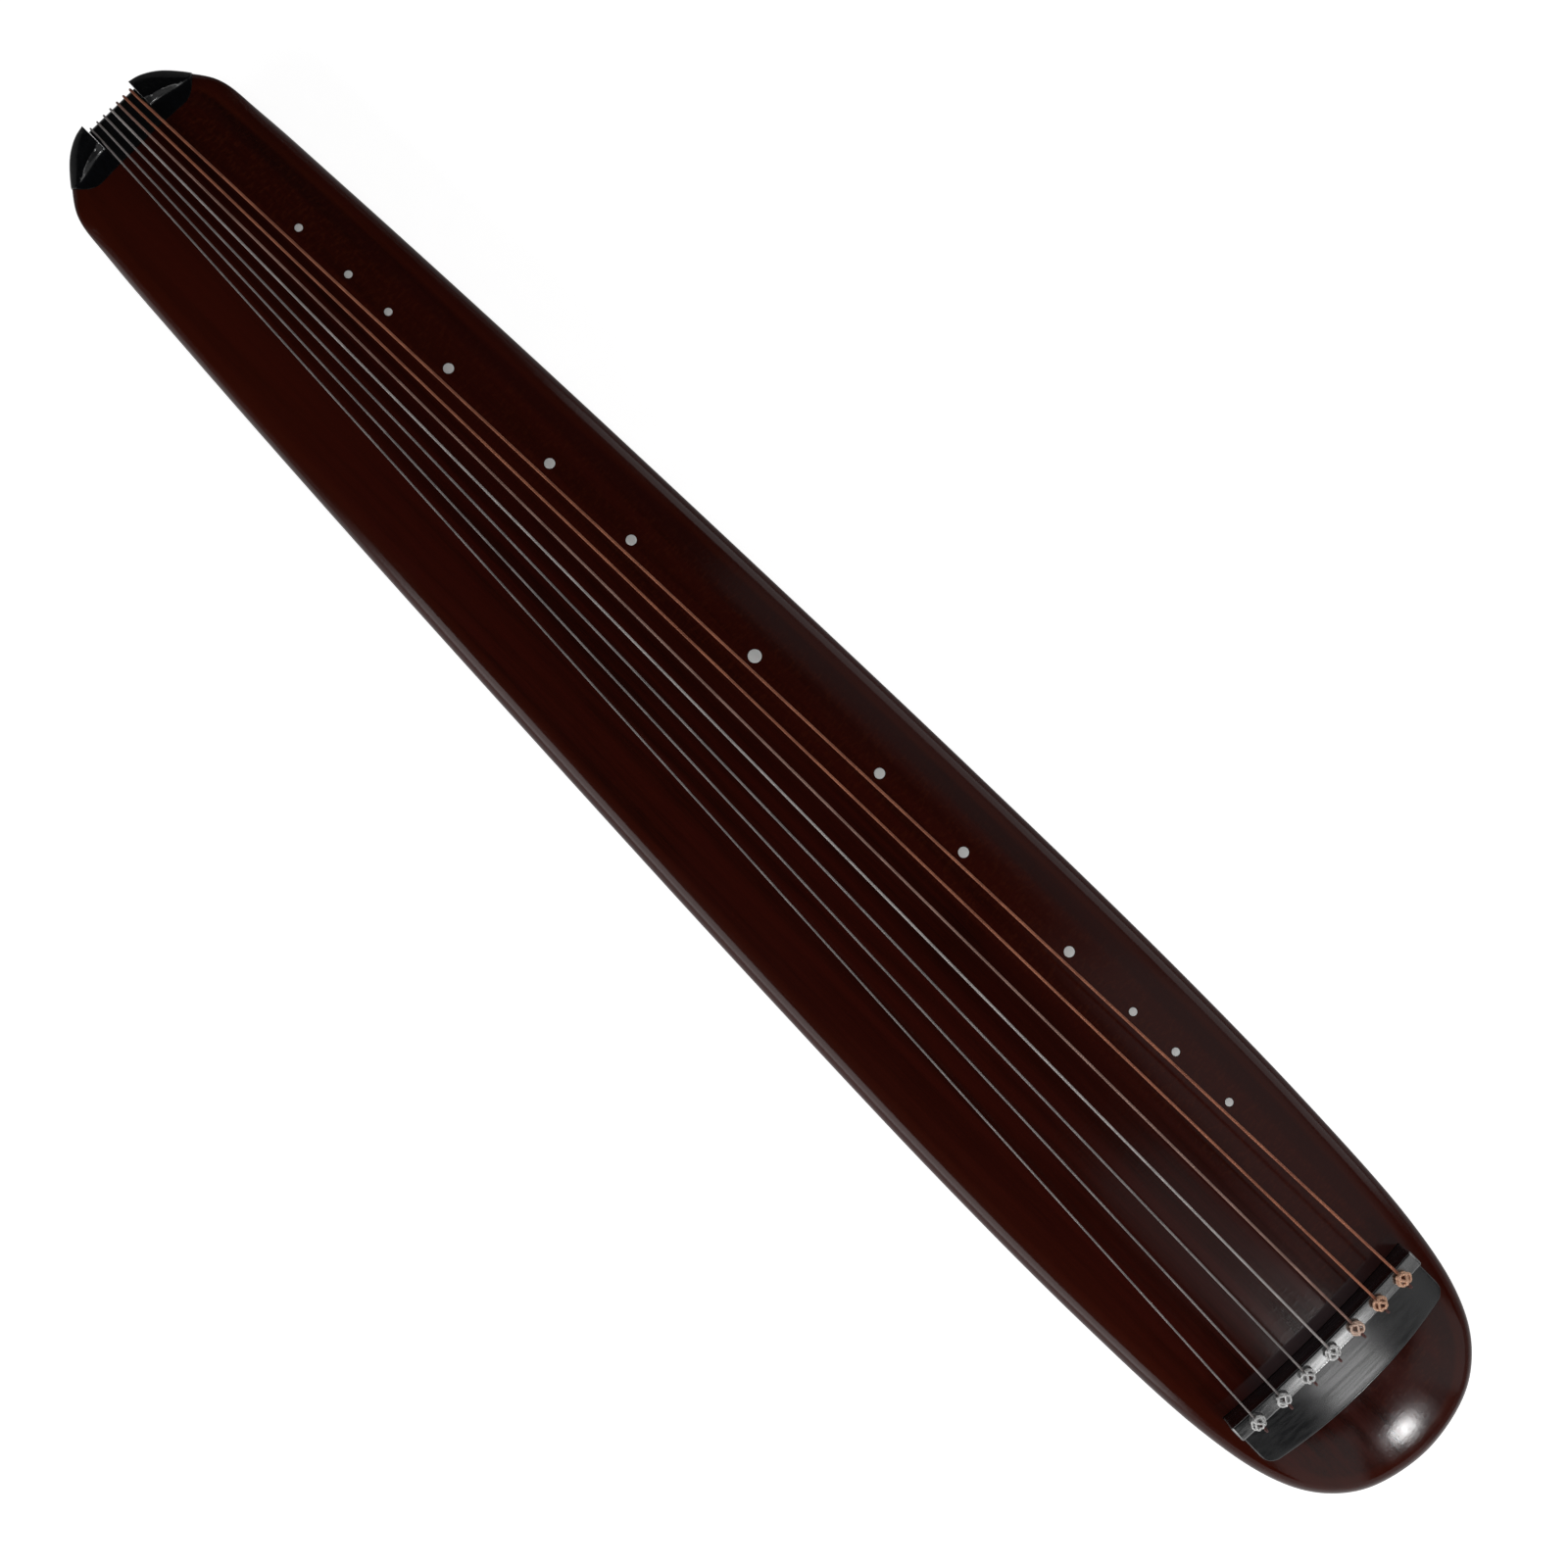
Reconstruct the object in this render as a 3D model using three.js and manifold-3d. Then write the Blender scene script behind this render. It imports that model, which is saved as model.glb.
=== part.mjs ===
// Guqin: a seven-string board zither that stands on two goose feet and two peg guards.
// Millimetres, +Z up, +X towards the head, +Y towards the side with the studs (hui).
// The origin is on the floor, under the middle of the length.

import * as THREE from 'three';
import { mergeVertices } from 'three/addons/utils/BufferGeometryUtils.js';
import Module from 'manifold-3d';

const wasm = await Module();
wasm.setup();

// Driving dimensions of the body
const BODY_LENGTH = 1232;
const BODY_WIDTH = 206;
const STAND_HEIGHT = 26;
const BODY_DEPTH = 52;
const BOTTOM_THICKNESS = 11;
const BOARD_THICKNESS = 10;
const SIDE_WALL = 18;
const ARCH_DROP = 12;
const SHOULDER_WIDTH = 9;
const SHOULDER_DROP = 8;
const EDGE_ROUND = 4;
const SEAM_INSET = 0.8;
const ARCH_POWER = 2.2;

// Clearances shared by all pieces, and the run of a cutter past the wood it cuts
const FIT_GAP = 0.3;
const SEAT_GAP = 0.3;
const OVERRUN = 4;

// Plan of the body, head tip to tail centre: share of the length, share of the half width
const OUTLINE_SHARES = [
  [0, 0],
  [0.0042, 0.325],
  [0.0122, 0.526],
  [0.0270, 0.705],
  [0.0489, 0.832],
  [0.0885, 0.928],
  [0.1696, 0.986],
  [0.2711, 1],
  [0.4131, 0.968],
  [0.5828, 0.902],
  [0.7541, 0.821],
  [0.8839, 0.741],
  [0.9489, 0.689],
  [0.9684, 0.647],
  [0.9838, 0.530],
  [0.9947, 0.403],
  [0.9992, 0.291],
  [1, 0.194],
  [1, 0],
];
const POINTS_PER_STEP = 2;
const ARCH_RING_SHARES = [0.28, 0.48, 0.70, 0.88];

// The ridge of the arch: share of the length from the head, share of the body's depth
const CROWN_SHARES = [
  [0, 0.980],
  [0.0885, 0.990],
  [0.1700, 1.010],
  [0.2900, 1.020],
  [0.5390, 1.000],
  [0.7380, 0.970],
  [0.9000, 0.935],
  [0.9700, 0.912],
  [1, 0.904],
];
const SPINE_HEAD_SHARE = 0.0722;
const SPINE_TAIL_SHARE = 0.9700;

// The tail is level: the top keeps only a share of its fall from the start to the end of this stretch
const LEVEL_START_SHARE = 0.940;
const LEVEL_END_SHARE = 0.975;
const LEVEL_FALL_SHARE = 0.35;

// Strings and their stops
const NUT_SETBACK = 13;
const STRING_COUNT = 7;
const STRINGS_ON_HUI_SIDE = 4;
const COPPER_STRINGS = 3;
const BRIDGE_SETBACK = 109;
const STRING_DIAMETERS = [1.9, 1.8, 1.7, 1.6, 1.5, 1.4, 1.3];
const NUT_PITCH = 6.17;
const CORD_SIDES = 6;

// Bridge and the plate behind it, let into one rebate
const BRIDGE_THICKNESS = 10.5;
const BRIDGE_MARGIN = 17.1;
const BRIDGE_RISE = 18;
const BRIDGE_ARCH = 5;
const BRIDGE_EDGE = 1.2;
const BRIDGE_STEPS = 14;
const REBATE_DEPTH = 11.5;
const PLATE_DEPTH = 33.7;
const PLATE_BOW = 4;
const PLATE_RISE = 3.5;
const PLATE_EDGE = 1.5;
const PLATE_CORNER = 8;
const PLATE_CORNER_STEPS = 4;
const PLATE_STEPS = 8;
const CORD_HOLE_SETBACK = 17.8;
const CORD_DIAMETER = 1.8;
const CORD_HOLE_RADIUS = 1.6;
const CORD_NEAR_SHARE = 0.35;
const CORD_FAR_SHARE = 0.75;
const HOLE_SIDES = 8;

// Knot of each string on the bridge
const KNOT_LENGTH = 8.6;
const KNOT_WIDTH = 8;
const KNOT_HEIGHT = 5.4;
const KNOT_SETBACK = 6.6;
const KNOT_SEGMENTS = 8;
const KNOT_RINGS = 6;

// Nut, crown corners and tail support at the tail
const NUT_RISE = 1.8;
const NUT_LENGTH = 31;
const NUT_OVERHANG = 8;
const NUT_ROUND = 4;
const NUT_HALF_WIDTH = 21;
const TAIL_REBATE_DEPTH = 23;
const CORNER_SWEEP = 14;
const CORNER_STRAIGHT = 38;
const RIDGE_HEIGHT = 6.5;
const RIDGE_WIDTH = 9;
const RIDGE_SETBACK = 4.5;
const RIDGE_SWEEP = 7;
const RIDGE_OUTER_SHARE = 0.25;
const RIDGE_BACK_SHARE = 0.75;
const CORNER_ROWS = 8;
const NOTCH_CUT = 1.5;
const SUPPORT_LENGTH = 13;
const SUPPORT_HEIGHT = 15;
const SUPPORT_PROUD = 1;

// Studs that mark the string's nodes, as shares of the string's length from the bridge
const HUI_SHARES = [
  1 / 8, 1 / 6, 1 / 5, 1 / 4, 1 / 3, 2 / 5, 1 / 2,
  3 / 5, 2 / 3, 3 / 4, 4 / 5, 5 / 6, 7 / 8,
];
const HUI_SMALL = 5.5;
const HUI_MIDDLE = 7.2;
const HUI_LARGE = 9.2;
const HUI_DEPTH = 1.2;
const HUI_HEAD_OFFSET = 70.2;
const HUI_TAIL_OFFSET = 28.9;
const HUI_SIDES = 12;

// Feet, blocks and guards
const FOOT_PLACE_SHARE = 0.694;
const FOOT_MARGIN = 44.6;
const FOOT_NECK_RADIUS = 11;
const FOOT_HEAD_RADIUS = 13;
const FOOT_BASE_RADIUS = 15;
const FOOT_BASE_HEIGHT = 2.4;
const FOOT_CHAMFER = 0.8;
const FOOT_SIDES = 20;
const TENON_WIDTH = 12;
const TENON_HEIGHT = 20;
const BLOCK_LENGTH = 40;
const BLOCK_WIDTH = 32;
const BLOCK_HEIGHT = 10;
const GUARD_LENGTH = 34;
const GUARD_THICKNESS = 10;
const GUARD_TAPER = 4;
const GUARD_MARGIN = 1.2;
const GUARD_SIDES = 16;

// Pegs in their pool
const PEG_FLOOR_GAP = 2;
const PEG_RADIUS = 7.8;
const PEG_TOP_RADIUS = 6.9;
const PEG_NECK_RADIUS = 5.6;
const PEG_COLLAR = 4.4;
const PEG_NECK = 7.6;
const PEG_STEP = 1.4;
const PEG_SIDES = 12;
const PEG_BORE_RADIUS = 1.8;
const PEG_SIDE_HOLE_RADIUS = 2;
const PEG_BORE_DEPTH = 9.8;
const PEG_HOLE_DROP = 7.8;
const PEG_PLATE_THICKNESS = 3;
const POOL_END_WALL = 14;
const PEG_END_GAP = 4.05;
const POOL_WIDTH = 36;
const POOL_DEPTH = 9;

// Cord wound on each peg
const WRAP_TURNS = 1.75;
const WRAP_STEPS = 16;
const WRAP_PITCH = 2.4;
const WRAP_GAP = 0.4;
const WRAP_START_SHARE = 0.055;

// String wound on its foot
const FOOT_TURNS = 1.4;
const FOOT_STEPS = 20;
const FOOT_WINDING_GAP = 0.5;
const FOOT_WINDING_DROP = 0.8;

// Sound chamber, sound holes with their rims, and the two posts
const CHAMBER_HEAD_SETBACK = 45;
const CHAMBER_NUT_SETBACK = 65;
const CHAMBER_STEPS = 9;
const CEILING_SHARES = [1, 0.72, 0.36, 0, -0.36, -0.72, -1];
const DRAGON_POOL_SHARE = 0.356;
const DRAGON_POOL_LENGTH = 210;
const DRAGON_POOL_WIDTH = 26;
const PHOENIX_POOL_SHARE = 0.83;
const PHOENIX_POOL_LENGTH = 105;
const PHOENIX_POOL_WIDTH = 24;
const POOL_CORNER = 5;
const POOL_CORNER_STEPS = 3;
const RIM_WIDTH = 3;
const RIM_PROUD = 0.6;
const NAYIN_MARGIN = 8;
const NAYIN_DEPTH = 5;
const HEAVEN_POST_MARGIN = 24;
const HEAVEN_POST_RADIUS = 8;
const HEAVEN_POST_SIDES = 16;
const EARTH_POST_MARGIN = 97;
const EARTH_POST_WIDTH = 14;

// Places that follow from the sizes above
const HEAD_X = BODY_LENGTH / 2;
const BRIDGE_X = HEAD_X - BRIDGE_SETBACK;
const NUT_X = NUT_SETBACK - HEAD_X;
const STRING_LENGTH = BRIDGE_X - NUT_X;
const NUT_END_X = NUT_X - NUT_OVERHANG;
const NUT_FRONT_X = NUT_END_X + NUT_LENGTH;
const SEAM_Z = STAND_HEIGHT + BOTTOM_THICKNESS;
const CORD_X = BRIDGE_X + CORD_HOLE_SETBACK;
const FOOT_X = BRIDGE_X - FOOT_PLACE_SHARE * STRING_LENGTH;
const DRAGON_POOL_X = BRIDGE_X - DRAGON_POOL_SHARE * STRING_LENGTH;
const PHOENIX_POOL_X = BRIDGE_X - PHOENIX_POOL_SHARE * STRING_LENGTH;
const SPINE_HEAD_X = HEAD_X - BODY_LENGTH * SPINE_HEAD_SHARE;
const SPINE_TAIL_X = HEAD_X - BODY_LENGTH * SPINE_TAIL_SHARE;
const CORD_RADIUS = CORD_DIAMETER / 2;
const POOL_CEILING_Z = SEAM_Z + POOL_DEPTH;
const PEG_PLATE_BOTTOM_Z = POOL_CEILING_Z - SEAT_GAP - PEG_PLATE_THICKNESS;
const PEG_TOP_Z = PEG_PLATE_BOTTOM_Z - SEAT_GAP;
const PEG_HOLE_Z = PEG_TOP_Z - PEG_HOLE_DROP;
const SUPPORT_BOTTOM_Z = STAND_HEIGHT - SUPPORT_PROUD;

// Smooth height through a table of shares, with a finite slope at each row
function smoothTable(rows) {
  const slope = rows.map((row, i) => {
    const before = rows[Math.max(i - 1, 0)];
    const after = rows[Math.min(i + 1, rows.length - 1)];
    return (after[1] - before[1]) / (after[0] - before[0]);
  });
  return (share) => {
    let i = 0;
    while (i < rows.length - 2 && share > rows[i + 1][0]) i += 1;
    const span = rows[i + 1][0] - rows[i][0];
    const t = THREE.MathUtils.clamp((share - rows[i][0]) / span, 0, 1);
    const t2 = t * t;
    const t3 = t2 * t;
    return (2 * t3 - 3 * t2 + 1) * rows[i][1] + (t3 - 2 * t2 + t) * span * slope[i]
      + (3 * t2 - 2 * t3) * rows[i + 1][1] + (t3 - t2) * span * slope[i + 1];
  };
}

const crownShare = smoothTable(CROWN_SHARES);

function crownHeight(x) {
  return STAND_HEIGHT + BODY_DEPTH * crownShare((HEAD_X - x) / BODY_LENGTH);
}

// Closed plan of the body: point 0 at the head tip, the middle point at the tail centre,
// and point i of the +Y side facing point (count - i) of the other side
function bodyOutline() {
  const side = OUTLINE_SHARES.map(([along, half]) => (
    new THREE.Vector3(HEAD_X - along * BODY_LENGTH, half * BODY_WIDTH / 2, 0)));
  const other = side.slice(1, -1).reverse().map((p) => new THREE.Vector3(p.x, -p.y, 0));
  const curve = new THREE.CatmullRomCurve3([...side, ...other], true, 'centripetal');
  const count = (side.length + other.length) * POINTS_PER_STEP;
  return Array.from({ length: count }, (unused, i) => curve.getPoint(i / count));
}

const OUTLINE = bodyOutline();

// Point of the spine that a point of the plan looks at
function spinePoint(x) {
  return new THREE.Vector3(THREE.MathUtils.clamp(x, SPINE_TAIL_X, SPINE_HEAD_X), 0, 0);
}

// Share of an edge by which a ray may miss its ends, so that none slips past a shared corner
const CORNER_SLACK_SHARE = 1e-7;

// Distance from a point inside the plan to the outline, along a unit direction
function reach(from, direction) {
  let nearest = Infinity;
  OUTLINE.forEach((a, i) => {
    const b = OUTLINE[(i + 1) % OUTLINE.length];
    const edgeX = b.x - a.x;
    const edgeY = b.y - a.y;
    const cross = direction.x * edgeY - direction.y * edgeX;
    if (cross === 0) return;
    const along = ((a.x - from.x) * edgeY - (a.y - from.y) * edgeX) / cross;
    const across = ((a.x - from.x) * direction.y - (a.y - from.y) * direction.x) / cross;
    const onEdge = across >= -CORNER_SLACK_SHARE && across <= 1 + CORNER_SLACK_SHARE;
    if (along > 0 && onEdge) nearest = Math.min(nearest, along);
  });
  return nearest;
}

const SIDEWAYS = new THREE.Vector3(0, 1, 0);

function halfWidth(x) {
  return reach(new THREE.Vector3(x, 0, 0), SIDEWAYS);
}

// Widths that follow the plan where each piece lies
const BRIDGE_SPAN = 2 * (halfWidth(BRIDGE_X) - BRIDGE_MARGIN);
const POOL_LENGTH = 2 * (halfWidth(CORD_X + POOL_WIDTH / 2) - POOL_END_WALL);
const BRIDGE_PITCH = (POOL_LENGTH - 2 * (PEG_RADIUS + PEG_END_GAP)) / (STRING_COUNT - 1);
const FOOT_OFFSET = halfWidth(FOOT_X) - FOOT_MARGIN;

// Fall of the rolled shoulder, from the flat of the arch to the widest line
function shoulderFall(inset) {
  const t = 1 - Math.min(inset / SHOULDER_WIDTH, 1);
  return SHOULDER_DROP * (1 - Math.sqrt(1 - t * t));
}

// Share of its fall that the top keeps at a place: all of it along the body, and at the tail
// less and less, none of it straight behind the spine
function fallShare(place, spine) {
  const along = (HEAD_X - place.x) / BODY_LENGTH;
  const level = THREE.MathUtils.smoothstep(along, LEVEL_START_SHARE, LEVEL_END_SHARE);
  const away = Math.hypot(place.x - spine.x, place.y);
  const sideways = place.x < SPINE_TAIL_X ? Math.abs(place.y) / away : 1;
  return (1 - (1 - LEVEL_FALL_SHARE) * level) * sideways;
}

function archHeight(place, spine, inset, length) {
  const share = Math.max(1 - inset / length, 0);
  const fall = ARCH_DROP * share ** ARCH_POWER + shoulderFall(inset);
  return crownHeight(Math.min(place.x, spine.x)) - fall * fallShare(place, spine);
}

// Height of the finished top over any point of the plan
function surfaceHeight(x, y) {
  const spine = spinePoint(x);
  const place = new THREE.Vector3(x, y, 0);
  const direction = place.clone().sub(spine);
  const distance = direction.length();
  if (distance === 0) return crownHeight(spine.x);
  direction.divideScalar(distance);
  const length = reach(spine, direction);
  return archHeight(place, spine, Math.max(length - distance, 0), length);
}

// Outline moved in towards the spine, at a height that a function gives for each point
function bodyRing(inset, height) {
  return OUTLINE.map((p) => {
    const spine = spinePoint(p.x);
    const length = p.distanceTo(spine);
    const move = Math.min(inset(length), length);
    const q = p.clone().lerp(spine, move / length);
    q.z = height(q, spine, move, length);
    return q;
  });
}

// Closed surface with its faces turned outwards, whichever way its points were walked
function geometryFrom(points, triangles) {
  const corner = (i) => points[triangles[i]];
  let volume = 0;
  for (let i = 0; i < triangles.length; i += 3) {
    volume += corner(i).dot(corner(i + 1).clone().cross(corner(i + 2)));
  }
  const geometry = new THREE.BufferGeometry();
  const numbers = points.flatMap((p) => [p.x, p.y, p.z]);
  geometry.setAttribute('position', new THREE.Float32BufferAttribute(numbers, 3));
  geometry.setIndex(volume < 0 ? [...triangles].reverse() : triangles);
  return geometry;
}

// Walls between rings of equal count, first ring below, seen from outside turning left
function ringWalls(ringCount, count) {
  const triangles = [];
  for (let ring = 0; ring < ringCount - 1; ring += 1) {
    for (let i = 0; i < count; i += 1) {
      const a = ring * count + i;
      const b = ring * count + (i + 1) % count;
      triangles.push(a, b, b + count, a, b + count, a + count);
    }
  }
  return triangles;
}

// Cap across a ring whose point i faces point (count - i)
function ladderCap(count, base, upward) {
  const triangles = [];
  const add = (a, b, c) => triangles.push(...(upward ? [a, b, c] : [a, c, b]).map((i) => base + (i % count)));
  for (let i = 0; i < count / 2; i += 1) {
    const near = i;
    const next = i + 1;
    const farNear = count - i;
    const farNext = count - i - 1;
    if (i > 0) add(near, next, farNear);
    if (next < farNext) add(next, farNext, farNear);
  }
  return triangles;
}

function ringSolid(rings) {
  const count = rings[0].length;
  const triangles = [
    ...ladderCap(count, 0, false),
    ...ringWalls(rings.length, count),
    ...ladderCap(count, (rings.length - 1) * count, true),
  ];
  return geometryFrom(rings.flat(), triangles);
}

// Solid through equal sections, each a convex polygon
function loft(sections) {
  const count = sections[0].length;
  const last = (sections.length - 1) * count;
  const triangles = ringWalls(sections.length, count);
  for (let i = 1; i < count - 1; i += 1) {
    triangles.push(0, i + 1, i, last, last + i, last + i + 1);
  }
  return geometryFrom(sections.flat(), triangles);
}

// Round or many-sided turned solid on +Z, with its profile from the axis to the axis
function turned(profile, sides) {
  const points = profile.map(([r, z]) => new THREE.Vector2(r, z));
  return new THREE.LatheGeometry(points, sides).rotateX(Math.PI / 2);
}

function rod(radius, low, high, sides) {
  return turned([[0, low], [radius, low], [radius, high], [0, high]], sides);
}

function block(lowX, highX, lowY, highY, lowZ, highZ) {
  const geometry = new THREE.BoxGeometry(highX - lowX, highY - lowY, highZ - lowZ);
  return geometry.translate((lowX + highX) / 2, (lowY + highY) / 2, (lowZ + highZ) / 2);
}

// Upright prism over a rectangle with rounded corners
function roundedPrism(length, width, corner, low, high) {
  const shape = new THREE.Shape();
  const x = length / 2 - corner;
  const y = width / 2 - corner;
  shape.absarc(x, y, corner, 0, Math.PI / 2);
  shape.absarc(-x, y, corner, Math.PI / 2, Math.PI);
  shape.absarc(-x, -y, corner, Math.PI, 3 * Math.PI / 2);
  shape.absarc(x, -y, corner, 3 * Math.PI / 2, 2 * Math.PI);
  const settings = { depth: high - low, bevelEnabled: false, curveSegments: POOL_CORNER_STEPS };
  return new THREE.ExtrudeGeometry(shape, settings).translate(0, 0, low);
}

// Unbroken tube of one radius through a list of points, with flat ends
function cord(points, radius) {
  const rings = [];
  let side = null;
  points.forEach((p, i) => {
    const before = points[Math.max(i - 1, 0)];
    const after = points[Math.min(i + 1, points.length - 1)];
    const into = p.clone().sub(before);
    const out = after.clone().sub(p);
    const tangent = into.normalize().add(out.normalize()).normalize();
    if (side === null) side = new THREE.Vector3(0, 1, 0);
    side = side.clone().addScaledVector(tangent, -side.dot(tangent)).normalize();
    const up = tangent.clone().cross(side);
    rings.push(Array.from({ length: CORD_SIDES }, (unused, k) => {
      const angle = 2 * Math.PI * k / CORD_SIDES;
      const q = p.clone().addScaledVector(side, radius * Math.cos(angle));
      return q.addScaledVector(up, radius * Math.sin(angle));
    }));
  });
  return loft(rings);
}

// Manifold solids for cuts and joins
function solid(geometry) {
  const bare = geometry.clone();
  bare.deleteAttribute('normal');
  bare.deleteAttribute('uv');
  const merged = mergeVertices(bare, 1e-4);
  return new wasm.Manifold(new wasm.Mesh({
    numProp: 3,
    vertProperties: new Float32Array(merged.attributes.position.array),
    triVerts: new Uint32Array(merged.index.array),
  }));
}

function geometryOf(body) {
  const mesh = body.getMesh();
  const geometry = new THREE.BufferGeometry();
  geometry.setAttribute('position', new THREE.BufferAttribute(new Float32Array(mesh.vertProperties), 3));
  geometry.setIndex(new THREE.BufferAttribute(new Uint32Array(mesh.triVerts), 1));
  return geometry;
}

function cut(geometry, cutters) {
  return geometryOf(cutters.reduce((body, cutter) => body.subtract(solid(cutter)), solid(geometry)));
}

function join(geometries) {
  const [first, ...others] = geometries.map(solid);
  return geometryOf(others.reduce((body, other) => body.add(other), first));
}

// Finishes
const FINISH = {
  lacquer: { color: 0x3a1710, roughness: 0.3, metalness: 0 },
  rosewood: { color: 0x17110f, roughness: 0.35, metalness: 0 },
  pearl: { color: 0xe9e6de, roughness: 0.25, metalness: 0 },
  bareWood: { color: 0x9a7448, roughness: 0.8, metalness: 0 },
  copperString: { color: 0xa0664c, roughness: 0.4, metalness: 0.6 },
  silverString: { color: 0x96918e, roughness: 0.4, metalness: 0.6 },
  silkCord: { color: 0x5a1c18, roughness: 0.9, metalness: 0 },
};

const group = new THREE.Group();

function piece(name, geometry, finish) {
  const mesh = new THREE.Mesh(geometry, new THREE.MeshStandardMaterial(finish));
  mesh.name = name;
  group.add(mesh);
  return mesh;
}

// Strings are numbered from the side with the studs
function stringNumbers() {
  return Array.from({ length: STRING_COUNT }, (unused, i) => i + 1);
}

function stringOffset(number, pitch) {
  return ((STRING_COUNT + 1) / 2 - number) * pitch;
}

// Bridge: top arched less than the board, edges eased
function bridgeTop(y) {
  return crownHeight(BRIDGE_X) + BRIDGE_RISE - BRIDGE_ARCH * (2 * y / BRIDGE_SPAN) ** 2;
}

const REBATE_FLOOR_Z = crownHeight(BRIDGE_X) - REBATE_DEPTH;

function bridge() {
  const low = REBATE_FLOOR_Z + SEAT_GAP;
  const headX = BRIDGE_X + BRIDGE_THICKNESS;
  const sections = Array.from({ length: BRIDGE_STEPS + 1 }, (unused, i) => {
    const y = BRIDGE_SPAN * (0.5 - i / BRIDGE_STEPS);
    const top = bridgeTop(y);
    return [
      [BRIDGE_X, low],
      [headX, low],
      [headX, top - BRIDGE_EDGE],
      [headX - BRIDGE_EDGE, top],
      [BRIDGE_X + BRIDGE_EDGE, top],
      [BRIDGE_X, top - BRIDGE_EDGE],
    ].map(([x, z]) => new THREE.Vector3(x, y, z));
  });
  return loft(sections.reverse());
}

// Plate behind the bridge, with a bowed head edge, round corners and the cord holes
const PLATE_TAIL_X = BRIDGE_X + BRIDGE_THICKNESS + FIT_GAP;

function plateHeadX(y) {
  const half = BRIDGE_SPAN / 2;
  const past = Math.max(Math.abs(y) - (half - PLATE_CORNER), 0);
  const corner = PLATE_CORNER - Math.sqrt(Math.max(PLATE_CORNER ** 2 - past ** 2, 0));
  return PLATE_TAIL_X + PLATE_DEPTH - PLATE_BOW * (y / half) ** 2 - corner;
}

function plateStations() {
  const half = BRIDGE_SPAN / 2;
  const arc = Array.from({ length: PLATE_CORNER_STEPS }, (unused, i) => (
    half - PLATE_CORNER * (1 - Math.cos(Math.PI / 2 * i / PLATE_CORNER_STEPS))));
  const straight = Array.from({ length: PLATE_STEPS }, (unused, i) => (
    (half - PLATE_CORNER) * (1 - i / PLATE_STEPS)));
  const side = [...arc, ...straight];
  return [...side.map((y) => -y), 0, ...side.reverse()];
}

function cordHoles(low, high, radius, sides) {
  return stringNumbers().map((number) => (
    rod(radius, low, high, sides).translate(CORD_X, stringOffset(number, BRIDGE_PITCH), 0)));
}

function bridgePlate() {
  const low = REBATE_FLOOR_Z + SEAT_GAP;
  const half = BRIDGE_SPAN / 2;
  const sections = plateStations().map((y) => {
    const headX = plateHeadX(y);
    const edgeFall = Math.max(Math.abs(y) - (half - PLATE_EDGE), 0);
    const top = (x) => surfaceHeight(x, y) + PLATE_RISE - edgeFall;
    const innerX = headX - 2 * PLATE_EDGE;
    const middleX = (PLATE_TAIL_X + innerX) / 2;
    return [
      [PLATE_TAIL_X, low],
      [headX, low],
      [headX, top(headX) - PLATE_EDGE],
      [innerX, top(innerX)],
      [middleX, top(middleX)],
      [PLATE_TAIL_X, top(PLATE_TAIL_X)],
    ].map(([x, z]) => new THREE.Vector3(x, y, z));
  });
  const top = crownHeight(BRIDGE_X) + PLATE_RISE + OVERRUN;
  return cut(loft(sections), cordHoles(low - OVERRUN, top, CORD_HOLE_RADIUS, HOLE_SIDES));
}

// Cutter for the bridge and the plate, following their outline with the fit gap
function bridgeRebate() {
  const half = BRIDGE_SPAN / 2 + FIT_GAP;
  const high = crownHeight(BRIDGE_X) + OVERRUN;
  const shape = new THREE.Shape();
  shape.moveTo(BRIDGE_X - FIT_GAP, -half);
  plateStations().forEach((y) => {
    shape.lineTo(plateHeadX(y) + FIT_GAP, y * half / (BRIDGE_SPAN / 2));
  });
  shape.lineTo(BRIDGE_X - FIT_GAP, half);
  const settings = { depth: high - REBATE_FLOOR_Z, bevelEnabled: false };
  return new THREE.ExtrudeGeometry(shape, settings).translate(0, 0, REBATE_FLOOR_Z);
}

// Tail: everything past a curved front line and above one floor is black wood
const NUT_CREST_Z = crownHeight(NUT_X) + NUT_RISE;
const TAIL_FLOOR_Z = crownHeight(NUT_X) - TAIL_REBATE_DEPTH;

// Front line of the black wood: straight across the strings, swept back at the sides
function tailFrontX(y) {
  const past = Math.max(Math.abs(y) - CORNER_STRAIGHT, 0);
  const half = halfWidth(NUT_FRONT_X - CORNER_SWEEP);
  return NUT_FRONT_X - CORNER_SWEEP * (past / (half - CORNER_STRAIGHT)) ** 2;
}

// Columns of a crown corner on the +Y side, each from the front line to the outline
function cornerColumns() {
  const innerY = NUT_HALF_WIDTH + FIT_GAP;
  const outerY = halfWidth(NUT_FRONT_X - CORNER_SWEEP);
  const side = OUTLINE.slice(0, OUTLINE.length / 2 + 1);
  const edge = side.filter((p) => p.y > innerY && p.x < tailFrontX(outerY));
  const outer = new THREE.Vector3(tailFrontX(outerY), outerY, 0);
  const tip = new THREE.Vector3(-HEAD_X, innerY, 0);
  const ends = [outer, ...edge, tip];
  return ends.map((to, i) => {
    const frontY = outerY + (innerY - outerY) * i / (ends.length - 1);
    return { from: new THREE.Vector3(tailFrontX(frontY), frontY, 0), to };
  });
}

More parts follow.
